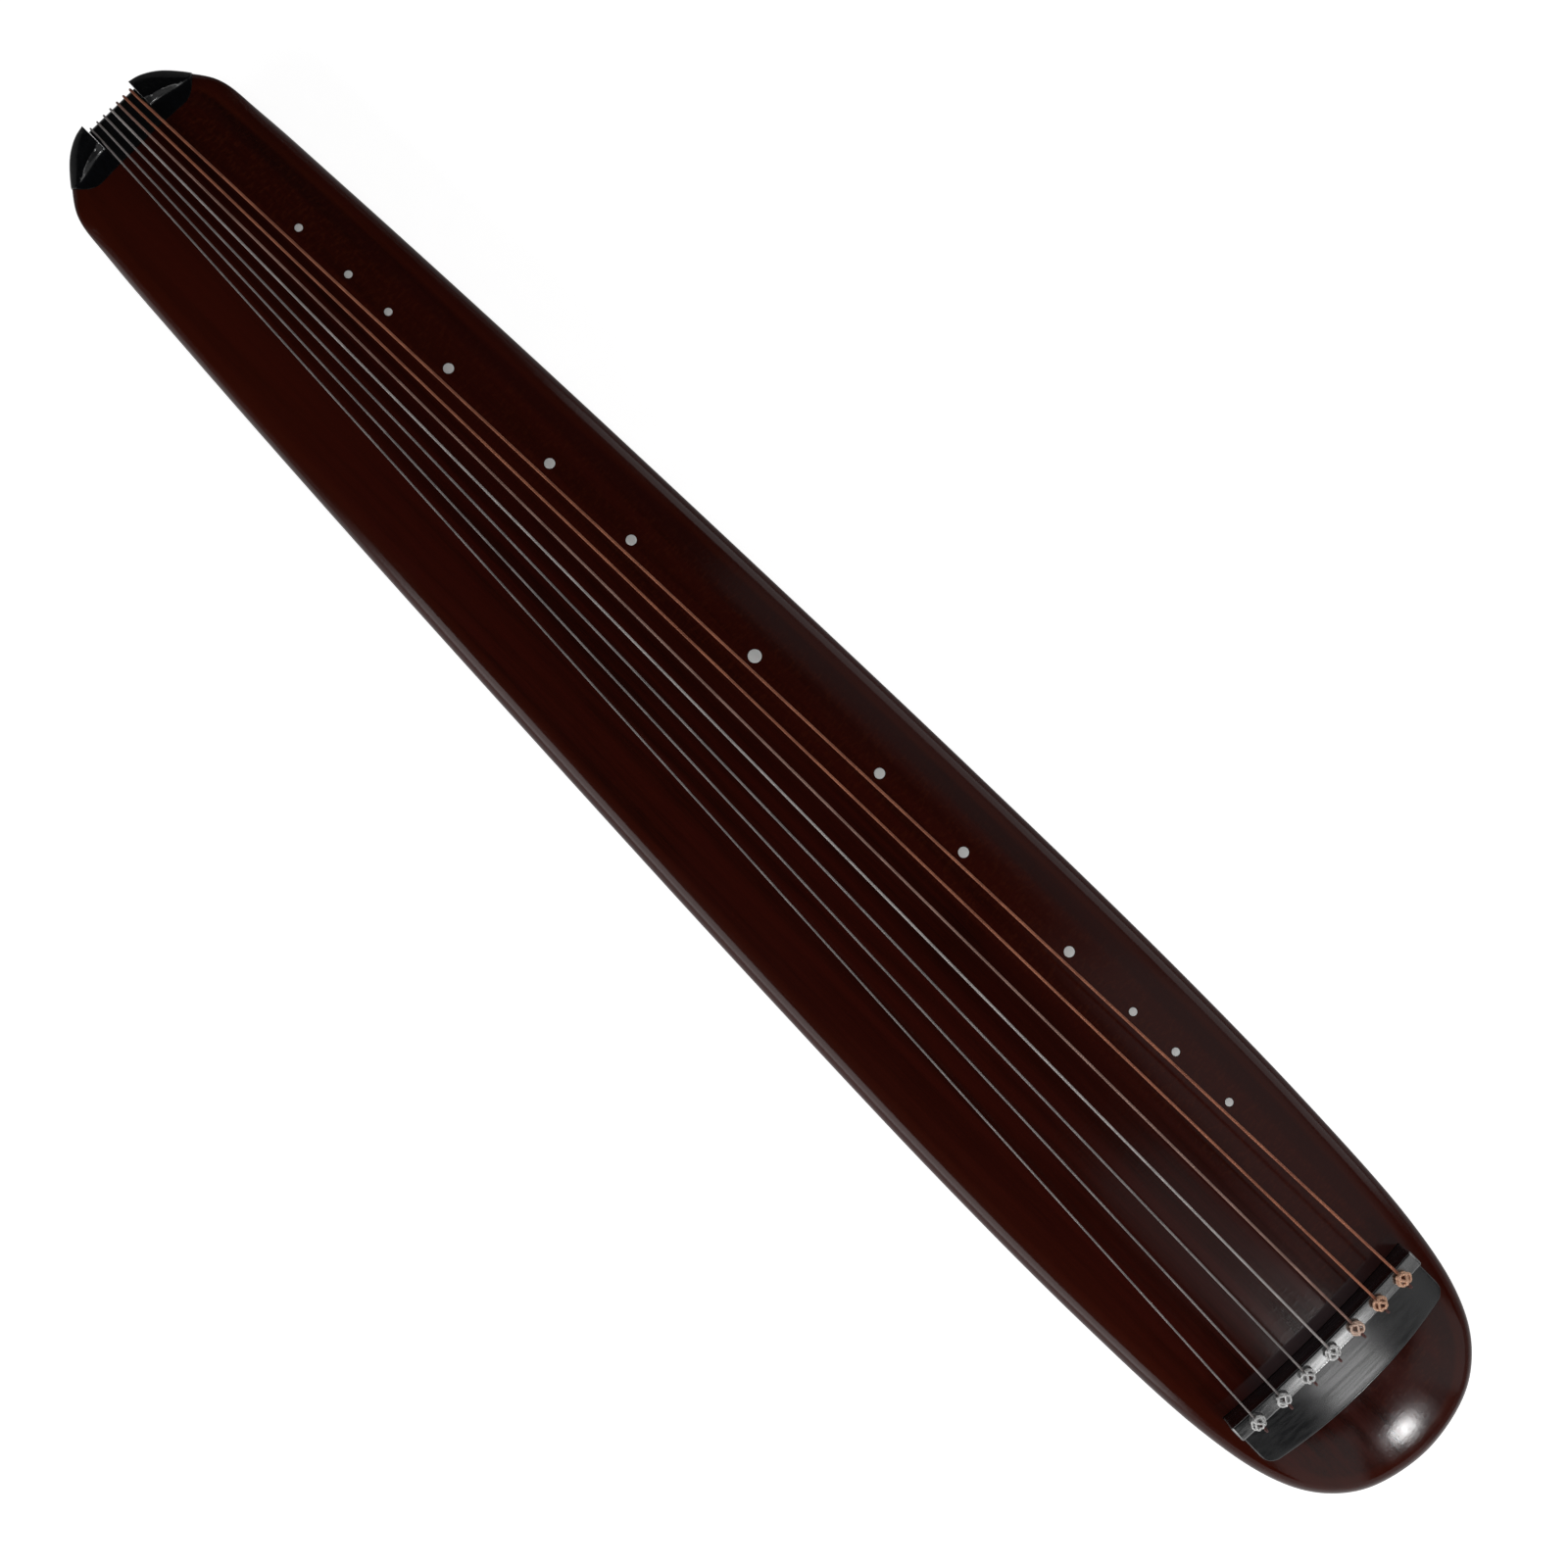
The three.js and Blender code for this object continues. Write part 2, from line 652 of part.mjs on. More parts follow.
// Cutter for the black wood's seat, following the same front line with the fit gap
function tailRebate() {
  const half = BODY_WIDTH / 2;
  const endX = -HEAD_X - OVERRUN;
  const front = cornerColumns().map(({ from }) => from);
  const outerX = front[0].x + FIT_GAP;
  const shape = new THREE.Shape();
  shape.moveTo(endX, half);
  shape.lineTo(outerX, half);
  front.forEach((p) => shape.lineTo(p.x + FIT_GAP, p.y));
  [...front].reverse().forEach((p) => shape.lineTo(p.x + FIT_GAP, -p.y));
  shape.lineTo(outerX, -half);
  shape.lineTo(endX, -half);
  const settings = { depth: BODY_DEPTH, bevelEnabled: false };
  return new THREE.ExtrudeGeometry(shape, settings).translate(0, 0, TAIL_FLOOR_Z);
}

// Nut between the crown corners, rounded over at its tail end
function nutProfile() {
  const low = TAIL_FLOOR_Z + SEAT_GAP;
  const points = [
    [NUT_END_X, low],
    [NUT_FRONT_X, low],
    [NUT_FRONT_X, crownHeight(NUT_FRONT_X)],
    [NUT_X, NUT_CREST_Z],
  ];
  for (let i = 0; i <= CORNER_ROWS / 2; i += 1) {
    const angle = Math.PI / 2 * (1 + 2 * i / CORNER_ROWS);
    points.push([
      NUT_END_X + NUT_ROUND + NUT_ROUND * Math.cos(angle),
      NUT_CREST_Z - NUT_ROUND + NUT_ROUND * Math.sin(angle),
    ]);
  }
  return points;
}

function nut() {
  const ends = [-NUT_HALF_WIDTH, NUT_HALF_WIDTH];
  return loft(ends.map((y) => nutProfile().map(([x, z]) => new THREE.Vector3(x, y, z))));
}

// Step of the crown corner along an S: it rises towards the nut, and stays raised behind the line
function ridgeLift(x, y, outerY) {
  const inner = NUT_HALF_WIDTH + FIT_GAP;
  const share = THREE.MathUtils.clamp((Math.abs(y) - inner) / (outerY - inner), 0, 1);
  const lineX = NUT_X + RIDGE_SETBACK + RIDGE_SWEEP * THREE.MathUtils.smoothstep(share, 0, 1);
  const away = (x - lineX) / RIDGE_WIDTH;
  const rise = RIDGE_HEIGHT * (1 - (1 - RIDGE_OUTER_SHARE) * share);
  if (away > 0) return rise * Math.max(1 - away, 0) ** 2;
  return rise * (RIDGE_BACK_SHARE + (1 - RIDGE_BACK_SHARE) * Math.exp(-away * away / 2));
}

// Crown corner on the +Y side, as rows of points from the front line to the outline
function crownCorner() {
  const low = TAIL_FLOOR_Z + SEAT_GAP;
  const columns = cornerColumns();
  const lastColumn = columns.length - 1;
  const outerY = columns[0].from.y;
  const point = (column, row) => {
    const { from, to } = columns[column];
    const p = from.clone().lerp(to, row / CORNER_ROWS);
    p.z = surfaceHeight(p.x, p.y) + ridgeLift(p.x, p.y, outerY);
    return p;
  };
  const sections = [];
  for (let row = 0; row <= CORNER_ROWS; row += 1) {
    const top = [];
    for (let column = 1; column <= lastColumn; column += 1) top.push(point(column, row));
    sections.push(top);
  }
  const apex = point(0, 0);
  const count = sections[0].length;
  const points = [...sections.flat(), ...sections.flat().map((p) => new THREE.Vector3(p.x, p.y, low))];
  const apexTop = points.length;
  points.push(apex, new THREE.Vector3(apex.x, apex.y, low));
  const lower = sections.length * count;
  const triangles = [];
  const quad = (a, b, c, d) => triangles.push(a, b, c, a, c, d);
  for (let row = 0; row < CORNER_ROWS; row += 1) {
    for (let column = 0; column < count - 1; column += 1) {
      const a = row * count + column;
      quad(a, a + count, a + count + 1, a + 1);
      quad(lower + a, lower + a + 1, lower + a + count + 1, lower + a + count);
    }
    const first = row * count;
    triangles.push(apexTop, first + count, first);
    triangles.push(apexTop + 1, lower + first, lower + first + count);
    const last = row * count + count - 1;
    quad(last, last + count, lower + last + count, lower + last);
  }
  const outer = CORNER_ROWS * count;
  for (let column = 0; column < count - 1; column += 1) {
    quad(column, column + 1, lower + column + 1, lower + column);
    const a = outer + column;
    quad(a + 1, a, lower + a, lower + a + 1);
  }
  quad(apexTop, 0, lower, apexTop + 1);
  quad(outer, apexTop, apexTop + 1, lower + outer);
  return geometryFrom(points, triangles);
}

// Support under the tail, whose lower edge turns the strings under the body
function supportProfile() {
  const high = SUPPORT_BOTTOM_Z + SUPPORT_HEIGHT;
  const frontX = NUT_END_X + SUPPORT_LENGTH;
  const points = [[NUT_END_X, high], [NUT_END_X, SUPPORT_BOTTOM_Z + NUT_ROUND]];
  for (let i = 1; i <= CORNER_ROWS / 2; i += 1) {
    const angle = Math.PI * (1 + i / CORNER_ROWS);
    points.push([
      NUT_END_X + NUT_ROUND + NUT_ROUND * Math.cos(angle),
      SUPPORT_BOTTOM_Z + NUT_ROUND + NUT_ROUND * Math.sin(angle),
    ]);
  }
  points.push([frontX, SUPPORT_BOTTOM_Z], [frontX, high]);
  return points;
}

function tailSupport() {
  const ends = [-NUT_HALF_WIDTH, NUT_HALF_WIDTH];
  return loft(ends.map((y) => supportProfile().map(([x, z]) => new THREE.Vector3(x, y, z))));
}

// Cutters for the notch that the strings run down, and for the support's pocket
function tailNotch() {
  const half = NUT_HALF_WIDTH + FIT_GAP;
  const low = STAND_HEIGHT - OVERRUN;
  const high = crownHeight(BRIDGE_X) + OVERRUN;
  return block(-HEAD_X - OVERRUN, NUT_END_X + NOTCH_CUT, -half, half, low, high);
}

function supportPocket() {
  const half = NUT_HALF_WIDTH + FIT_GAP;
  const frontX = NUT_END_X + SUPPORT_LENGTH + FIT_GAP;
  const high = SUPPORT_BOTTOM_Z + SUPPORT_HEIGHT + SEAT_GAP;
  return block(-HEAD_X - OVERRUN, frontX, -half, half, STAND_HEIGHT - OVERRUN, high);
}

// Studs, each on the slope of the arch
function huiPlace(share) {
  const x = BRIDGE_X - share * STRING_LENGTH;
  const y = HUI_HEAD_OFFSET + (HUI_TAIL_OFFSET - HUI_HEAD_OFFSET) * share;
  const step = HUI_LARGE / 2;
  const slopeX = (surfaceHeight(x + step, y) - surfaceHeight(x - step, y)) / (2 * step);
  const slopeY = (surfaceHeight(x, y + step) - surfaceHeight(x, y - step)) / (2 * step);
  const normal = new THREE.Vector3(-slopeX, -slopeY, 1).normalize();
  const turn = new THREE.Quaternion().setFromUnitVectors(new THREE.Vector3(0, 0, 1), normal);
  return { position: new THREE.Vector3(x, y, surfaceHeight(x, y)), turn };
}

function huiDiameter(index) {
  const fromMiddle = Math.abs(index - (HUI_SHARES.length - 1) / 2);
  if (fromMiddle === 0) return HUI_LARGE;
  return fromMiddle <= (HUI_SHARES.length - 1) / 4 ? HUI_MIDDLE : HUI_SMALL;
}

function huiDisc(share, radius, low, high) {
  const { position, turn } = huiPlace(share);
  const matrix = new THREE.Matrix4().compose(position, turn, new THREE.Vector3(1, 1, 1));
  return rod(radius, low, high, HUI_SIDES).applyMatrix4(matrix);
}

// Peg pool in the underside of the head, with room for the plate at its ceiling
function pegPool(low, high, gap) {
  const half = POOL_LENGTH / 2 + gap;
  const reachX = POOL_WIDTH / 2 + gap;
  return block(CORD_X - reachX, CORD_X + reachX, -half, half, low, high);
}

function pegPlate() {
  const high = PEG_PLATE_BOTTOM_Z + PEG_PLATE_THICKNESS;
  const slab = pegPool(PEG_PLATE_BOTTOM_Z, high, -FIT_GAP);
  const low = PEG_PLATE_BOTTOM_Z - OVERRUN;
  return cut(slab, cordHoles(low, high + OVERRUN, CORD_HOLE_RADIUS, HOLE_SIDES));
}

// Sound chamber under the arch, with a raised island over each sound hole
function ceilingHeight(x, y) {
  return crownHeight(x) - BOARD_THICKNESS - ARCH_DROP * (Math.abs(y) / halfWidth(x)) ** ARCH_POWER;
}

function soundChamber() {
  const fromX = NUT_X + CHAMBER_NUT_SETBACK;
  const toX = BRIDGE_X - CHAMBER_HEAD_SETBACK;
  const low = SEAM_Z - OVERRUN;
  const sections = Array.from({ length: CHAMBER_STEPS + 1 }, (unused, i) => {
    const x = fromX + (toX - fromX) * i / CHAMBER_STEPS;
    const half = halfWidth(x) - SIDE_WALL;
    const ceiling = CEILING_SHARES.map((share) => {
      const y = share * half;
      return new THREE.Vector3(x, y, ceilingHeight(x, y));
    });
    return [new THREE.Vector3(x, -half, low), new THREE.Vector3(x, half, low), ...ceiling];
  });
  return loft(sections);
}

function nayin(x, length, width) {
  const reachX = length / 2 + NAYIN_MARGIN;
  const low = ceilingHeight(x, 0) - NAYIN_DEPTH;
  const high = crownHeight(x);
  const half = width / 2 + NAYIN_MARGIN / 2;
  return block(x - reachX, x + reachX, -half, half, low, high);
}

function soundboard() {
  const top = (inset) => bodyRing(inset, archHeight);
  const fixed = (inset, z) => bodyRing(() => inset, () => z);
  const rings = [
    fixed(SEAM_INSET, SEAM_Z + SEAT_GAP),
    bodyRing(() => 0, (place, spine, move, length) => archHeight(place, spine, 0, length) - SHOULDER_DROP),
    top(() => 0),
    top(() => SHOULDER_WIDTH / 8),
    top(() => SHOULDER_WIDTH / 2),
    top(() => SHOULDER_WIDTH),
    ...ARCH_RING_SHARES.map((share) => top((length) => length * share)),
  ];
  const chamber = cut(soundChamber(), [
    nayin(DRAGON_POOL_X, DRAGON_POOL_LENGTH, DRAGON_POOL_WIDTH),
    nayin(PHOENIX_POOL_X, PHOENIX_POOL_LENGTH, PHOENIX_POOL_WIDTH),
  ]);
  const pockets = HUI_SHARES.map((share, i) => (
    huiDisc(share, huiDiameter(i) / 2 + FIT_GAP, -HUI_DEPTH - SEAT_GAP, OVERRUN)));
  return cut(ringSolid(rings), [
    chamber,
    bridgeRebate(),
    tailRebate(),
    tailNotch(),
    supportPocket(),
    pegPool(SEAM_Z - OVERRUN, POOL_CEILING_Z, 0),
    ...cordHoles(SEAM_Z, REBATE_FLOOR_Z + OVERRUN, CORD_HOLE_RADIUS, HOLE_SIDES),
    ...pockets,
  ]);
}

// Sound hole cutters and their rims
function soundHole(x, length, width, grow, low, high) {
  const corner = POOL_CORNER + grow;
  const prism = roundedPrism(length + 2 * grow, width + 2 * grow, corner, low, high);
  return prism.translate(x, 0, 0);
}

function soundHoleRim(x, length, width) {
  const low = STAND_HEIGHT - RIM_PROUD;
  const frame = soundHole(x, length, width, -FIT_GAP, low, SEAM_Z);
  const inner = soundHole(x, length, width, -RIM_WIDTH, low - OVERRUN, SEAM_Z + OVERRUN);
  return cut(frame, [inner]);
}

function tenonHole(side, low, high) {
  const half = TENON_WIDTH / 2 + FIT_GAP;
  const y = side * FOOT_OFFSET;
  return block(FOOT_X - half, FOOT_X + half, y - half, y + half, low, high);
}

function bottomBoard() {
  const ring = (inset, z) => bodyRing(() => inset, () => z);
  const low = STAND_HEIGHT - OVERRUN;
  const high = SEAM_Z + OVERRUN;
  const blank = ringSolid([
    ring(SEAM_INSET + EDGE_ROUND, STAND_HEIGHT),
    ring(SEAM_INSET + EDGE_ROUND / 4, STAND_HEIGHT + EDGE_ROUND / 3),
    ring(SEAM_INSET, STAND_HEIGHT + EDGE_ROUND),
    ring(SEAM_INSET, SEAM_Z),
  ]);
  return cut(blank, [
    soundHole(DRAGON_POOL_X, DRAGON_POOL_LENGTH, DRAGON_POOL_WIDTH, 0, low, high),
    soundHole(PHOENIX_POOL_X, PHOENIX_POOL_LENGTH, PHOENIX_POOL_WIDTH, 0, low, high),
    pegPool(low, high, 0),
    tenonHole(1, low, high),
    tenonHole(-1, low, high),
    tailNotch(),
    supportPocket(),
  ]);
}

// Feet on square tenons, the blocks that hold them, and the peg guards
function gooseFoot(side) {
  const top = STAND_HEIGHT - SEAT_GAP;
  const leg = turned([
    [0, 0],
    [FOOT_BASE_RADIUS - FOOT_CHAMFER, 0],
    [FOOT_BASE_RADIUS, FOOT_CHAMFER],
    [FOOT_BASE_RADIUS, FOOT_BASE_HEIGHT - FOOT_CHAMFER],
    [FOOT_NECK_RADIUS, FOOT_BASE_HEIGHT],
    [FOOT_NECK_RADIUS, top - FOOT_BASE_HEIGHT / 2],
    [FOOT_HEAD_RADIUS, top - FOOT_CHAMFER],
    [FOOT_HEAD_RADIUS, top],
    [0, top],
  ], FOOT_SIDES);
  const half = TENON_WIDTH / 2;
  const tenon = block(-half, half, -half, half, top - OVERRUN, top + TENON_HEIGHT);
  return join([leg, tenon]).translate(FOOT_X, side * FOOT_OFFSET, 0);
}

function footBlock(side) {
  const y = side * FOOT_OFFSET;
  const low = SEAM_Z + SEAT_GAP;
  const high = low + BLOCK_HEIGHT;
  const slab = block(
    FOOT_X - BLOCK_LENGTH / 2,
    FOOT_X + BLOCK_LENGTH / 2,
    y - BLOCK_WIDTH / 2,
    y + BLOCK_WIDTH / 2,
    low,
    high,
  );
  return cut(slab, [tenonHole(side, low - OVERRUN, high + OVERRUN)]);
}

function pegGuard(side) {
  const y = side * (POOL_LENGTH / 2 + GUARD_MARGIN + GUARD_THICKNESS / 2);
  const top = STAND_HEIGHT - SEAT_GAP;
  const levels = [
    [0, GUARD_TAPER + FOOT_CHAMFER],
    [FOOT_CHAMFER, GUARD_TAPER],
    [top / 2, GUARD_TAPER / 4],
    [top, 0],
  ];
  const sections = levels.map(([z, shrink]) => Array.from({ length: GUARD_SIDES }, (unused, i) => {
    const angle = 2 * Math.PI * (i + 0.5) / GUARD_SIDES;
    const round = (value) => Math.sign(value) * Math.abs(value) ** (1 / 2);
    const halfX = (GUARD_LENGTH - shrink) / 2;
    const halfY = (GUARD_THICKNESS - shrink / 2) / 2;
    return new THREE.Vector3(CORD_X + halfX * round(Math.cos(angle)), y + halfY * round(Math.sin(angle)), z);
  }));
  return loft(sections);
}

// Posts between the bottom board and the chamber's ceiling
function heavenPost() {
  const islandX = DRAGON_POOL_X + DRAGON_POOL_LENGTH / 2 + NAYIN_MARGIN;
  const x = islandX + HEAVEN_POST_MARGIN + HEAVEN_POST_RADIUS;
  const high = ceilingHeight(x, HEAVEN_POST_RADIUS) - SEAT_GAP;
  return rod(HEAVEN_POST_RADIUS, SEAM_Z + SEAT_GAP, high, HEAVEN_POST_SIDES).translate(x, 0, 0);
}

function earthPost() {
  const half = EARTH_POST_WIDTH / 2;
  const islandX = DRAGON_POOL_X - DRAGON_POOL_LENGTH / 2 - NAYIN_MARGIN;
  const x = islandX - EARTH_POST_MARGIN - half;
  const high = ceilingHeight(x - half, half) - SEAT_GAP;
  return block(x - half, x + half, -half, half, SEAM_Z + SEAT_GAP, high);
}

// Peg with a blind bore from its top and a side hole for the cord
function peg(y) {
  const neckTop = PEG_TOP_Z - PEG_COLLAR - PEG_STEP;
  const neckLow = neckTop - PEG_NECK;
  const low = PEG_FLOOR_GAP;
  const body = turned([
    [0, low],
    [PEG_TOP_RADIUS, low],
    [PEG_RADIUS, low + PEG_STEP],
    [PEG_RADIUS, low + 2 * PEG_COLLAR],
    [PEG_TOP_RADIUS, neckLow - PEG_STEP],
    [PEG_NECK_RADIUS, neckLow],
    [PEG_NECK_RADIUS, neckTop],
    [PEG_TOP_RADIUS, PEG_TOP_Z - PEG_COLLAR],
    [PEG_TOP_RADIUS, PEG_TOP_Z],
    [0, PEG_TOP_Z],
  ], PEG_SIDES);
  const bore = rod(PEG_BORE_RADIUS, PEG_TOP_Z - PEG_BORE_DEPTH, PEG_TOP_Z + OVERRUN, CORD_SIDES);
  const sideHole = rod(PEG_SIDE_HOLE_RADIUS, 0, PEG_RADIUS + OVERRUN, HOLE_SIDES)
    .rotateY(Math.PI / 2)
    .translate(0, 0, PEG_HOLE_Z);
  return cut(body, [bore, sideHole]).translate(CORD_X, y, 0);
}

// Cord that comes out of the side hole and is wound down the neck
function wrapRoute(y) {
  const radius = PEG_NECK_RADIUS + WRAP_GAP + CORD_RADIUS;
  const points = [
    new THREE.Vector3(PEG_BORE_RADIUS + FIT_GAP, 0, PEG_HOLE_Z),
    new THREE.Vector3(PEG_NECK_RADIUS - CORD_DIAMETER / 2, 0, PEG_HOLE_Z),
    new THREE.Vector3(PEG_NECK_RADIUS + FIT_GAP, CORD_RADIUS * 2 / 3, PEG_HOLE_Z),
  ];
  const steps = Math.round(WRAP_TURNS * WRAP_STEPS);
  for (let i = 0; i <= steps; i += 1) {
    const turns = WRAP_START_SHARE + (WRAP_TURNS - WRAP_START_SHARE) * i / steps;
    const angle = 2 * Math.PI * turns;
    const z = PEG_HOLE_Z - WRAP_PITCH * turns;
    points.push(new THREE.Vector3(radius * Math.cos(angle), radius * Math.sin(angle), z));
  }
  points.push(straightEnd(points, CORD_DIAMETER));
  return points.map((p) => p.add(new THREE.Vector3(CORD_X, y, 0)));
}

// Point that carries a route straight on past its last one
function straightEnd(points, length) {
  const last = points[points.length - 1];
  const run = last.clone().sub(points[points.length - 2]).normalize();
  return last.clone().addScaledVector(run, length);
}

// Twisted cord from the knot, over the bridge's edge, down its hole and into the peg
function cordRoute(number) {
  const y = stringOffset(number, BRIDGE_PITCH);
  const startX = BRIDGE_X + KNOT_SETBACK + KNOT_LENGTH / 2 + FIT_GAP;
  const startZ = bridgeTop(y) + KNOT_HEIGHT / 2;
  const plateZ = surfaceHeight(CORD_X, y) + PLATE_RISE;
  const run = CORD_X - startX;
  return [
    [startX, startZ],
    [startX + run * CORD_NEAR_SHARE, startZ - CORD_RADIUS],
    [startX + run * CORD_FAR_SHARE, startZ - (startZ - plateZ) * CORD_NEAR_SHARE],
    [CORD_X, startZ - (startZ - plateZ) * CORD_FAR_SHARE],
    [CORD_X, plateZ - CORD_DIAMETER],
    [CORD_X, PEG_HOLE_Z],
  ].map(([x, z]) => new THREE.Vector3(x, y, z));
}

// String: knot on the bridge, over the nut, down the tail, back under the body, round a foot
function footWindings() {
  const top = SUPPORT_BOTTOM_Z - FOOT_WINDING_DROP;
  const cursor = { 1: top, '-1': top };
  return stringNumbers().map((number) => {
    const side = number <= STRINGS_ON_HUI_SIDE ? 1 : -1;
    const diameter = STRING_DIAMETERS[number - 1];
    const pitch = diameter + FOOT_WINDING_GAP;
    const start = cursor[side] - diameter / 2;
    cursor[side] = start - FOOT_TURNS * pitch - diameter / 2 - FOOT_WINDING_GAP;
    return { side, pitch, start };
  });
}

const WINDINGS = footWindings();

function bend(y, centreX, centreZ, radius, fromAngle, toAngle) {
  const steps = CORNER_ROWS / 2;
  return Array.from({ length: steps + 1 }, (unused, i) => {
    const angle = fromAngle + (toAngle - fromAngle) * i / steps;
    return new THREE.Vector3(centreX + radius * Math.cos(angle), y, centreZ + radius * Math.sin(angle));
  });
}

function windingPoints(number) {
  const { side, pitch, start } = WINDINGS[number - 1];
  const radius = FOOT_NECK_RADIUS + SEAT_GAP + STRING_DIAMETERS[number - 1] / 2;
  const steps = Math.round(FOOT_TURNS * FOOT_STEPS);
  return Array.from({ length: steps + 1 }, (unused, i) => {
    const turns = FOOT_TURNS * i / steps;
    const angle = side * (2 * Math.PI * turns - Math.PI / 2);
    return new THREE.Vector3(
      FOOT_X + radius * Math.cos(angle),
      side * FOOT_OFFSET + radius * Math.sin(angle),
      start - pitch * turns,
    );
  });
}

function stringRoute(number) {
  const radius = STRING_DIAMETERS[number - 1] / 2;
  const lift = SEAT_GAP + radius;
  const bridgeY = stringOffset(number, BRIDGE_PITCH);
  const nutY = stringOffset(number, NUT_PITCH);
  const bendRadius = NUT_ROUND + lift;
  const winding = windingPoints(number);
  const points = [
    new THREE.Vector3(BRIDGE_X + KNOT_SETBACK, bridgeY, bridgeTop(bridgeY) + lift),
    new THREE.Vector3(BRIDGE_X, bridgeY, bridgeTop(bridgeY) + lift),
    new THREE.Vector3(NUT_X, nutY, NUT_CREST_Z + lift),
    ...bend(nutY, NUT_END_X + NUT_ROUND, NUT_CREST_Z - NUT_ROUND, bendRadius, Math.PI / 2, Math.PI),
    ...bend(nutY, NUT_END_X + NUT_ROUND, SUPPORT_BOTTOM_Z + NUT_ROUND, bendRadius, Math.PI, 3 * Math.PI / 2),
    ...winding,
  ];
  points.push(straightEnd(points, 2 * radius));
  return points;
}

function knot(number) {
  const y = stringOffset(number, BRIDGE_PITCH);
  const lump = new THREE.SphereGeometry(0.5, KNOT_SEGMENTS, KNOT_RINGS).rotateX(Math.PI / 2);
  return lump
    .scale(KNOT_LENGTH, KNOT_WIDTH, KNOT_HEIGHT)
    .translate(BRIDGE_X + KNOT_SETBACK, y, bridgeTop(y) + SEAT_GAP + KNOT_HEIGHT / 2);
}

// Least gap between turns of one winding, centre line to centre line less the diameter
function leastGap(points, diameter, stepsPerTurn) {
  let least = Infinity;
  points.forEach((p, i) => {
    points.slice(i + Math.ceil(stepsPerTurn / 2)).forEach((q) => {
      least = Math.min(least, p.distanceTo(q) - diameter);
    });
  });
  return least;
}

// Assembly
const lacquer = FINISH.lacquer;
const black = FINISH.rosewood;

piece('soundboard', soundboard(), lacquer);
piece('bottom_board', bottomBoard(), lacquer);
piece('bridge', bridge(), black);
piece('bridge_plate', bridgePlate(), black);
piece('nut', nut(), black);
piece('tail_support', tailSupport(), black);
const leftCorner = crownCorner();
piece('crown_corner_left', leftCorner, black);
const rightCorner = leftCorner.clone().scale(1, -1, 1);
rightCorner.setIndex([...rightCorner.index.array].reverse());
piece('crown_corner_right', rightCorner, black);
piece('peg_plate', pegPlate(), black);
piece('dragon_pool_rim', soundHoleRim(DRAGON_POOL_X, DRAGON_POOL_LENGTH, DRAGON_POOL_WIDTH), black);
piece('phoenix_pool_rim', soundHoleRim(PHOENIX_POOL_X, PHOENIX_POOL_LENGTH, PHOENIX_POOL_WIDTH), black);
piece('heaven_post', heavenPost(), FINISH.bareWood);
piece('earth_post', earthPost(), FINISH.bareWood);

[['left', 1], ['right', -1]].forEach(([word, side]) => {
  piece(`goose_foot_${word}`, gooseFoot(side), black);
  piece(`foot_block_${word}`, footBlock(side), FINISH.bareWood);
  piece(`peg_guard_${word}`, pegGuard(side), black);
});

HUI_SHARES.forEach((share, i) => {
  piece(`hui_${i + 1}`, huiDisc(share, huiDiameter(i) / 2, -HUI_DEPTH, 0), FINISH.pearl);
});

let leastWrapGap = Infinity;
let leastFootGap = Infinity;
stringNumbers().forEach((number) => {
  const y = stringOffset(number, BRIDGE_PITCH);
  const radius = STRING_DIAMETERS[number - 1] / 2;
  const finish = number <= COPPER_STRINGS ? FINISH.copperString : FINISH.silverString;
  piece(`string_${number}`, join([cord(stringRoute(number), radius), knot(number)]), finish);
  piece(`peg_${number}`, peg(y), black);
  piece(`peg_cord_${number}`, cord(cordRoute(number), CORD_RADIUS), FINISH.silkCord);
  piece(`peg_wrap_${number}`, cord(wrapRoute(y), CORD_RADIUS), FINISH.silkCord);
  leastWrapGap = Math.min(leastWrapGap, leastGap(wrapRoute(y), CORD_DIAMETER, WRAP_STEPS));
  leastFootGap = Math.min(leastFootGap, leastGap(windingPoints(number), 2 * radius, FOOT_STEPS));
});
console.log(`least gap between the turns of a peg wrap: ${leastWrapGap.toFixed(2)}`);
console.log(`least gap between the turns of a foot winding: ${leastFootGap.toFixed(2)}`);

export default group;
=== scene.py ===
"""Looks of a guqin: lacquered boards, black hardwood fittings, shell studs, strings, cords and pegs.

Lengths are metres. +X points to the head, +Y to the side with the studs, +Z up.
"""

import logging
import math
from collections.abc import Callable, Sequence
from dataclasses import dataclass
from enum import Enum
from functools import cached_property, reduce

import bmesh
import bpy
import numpy as np
from mathutils import Matrix, Vector


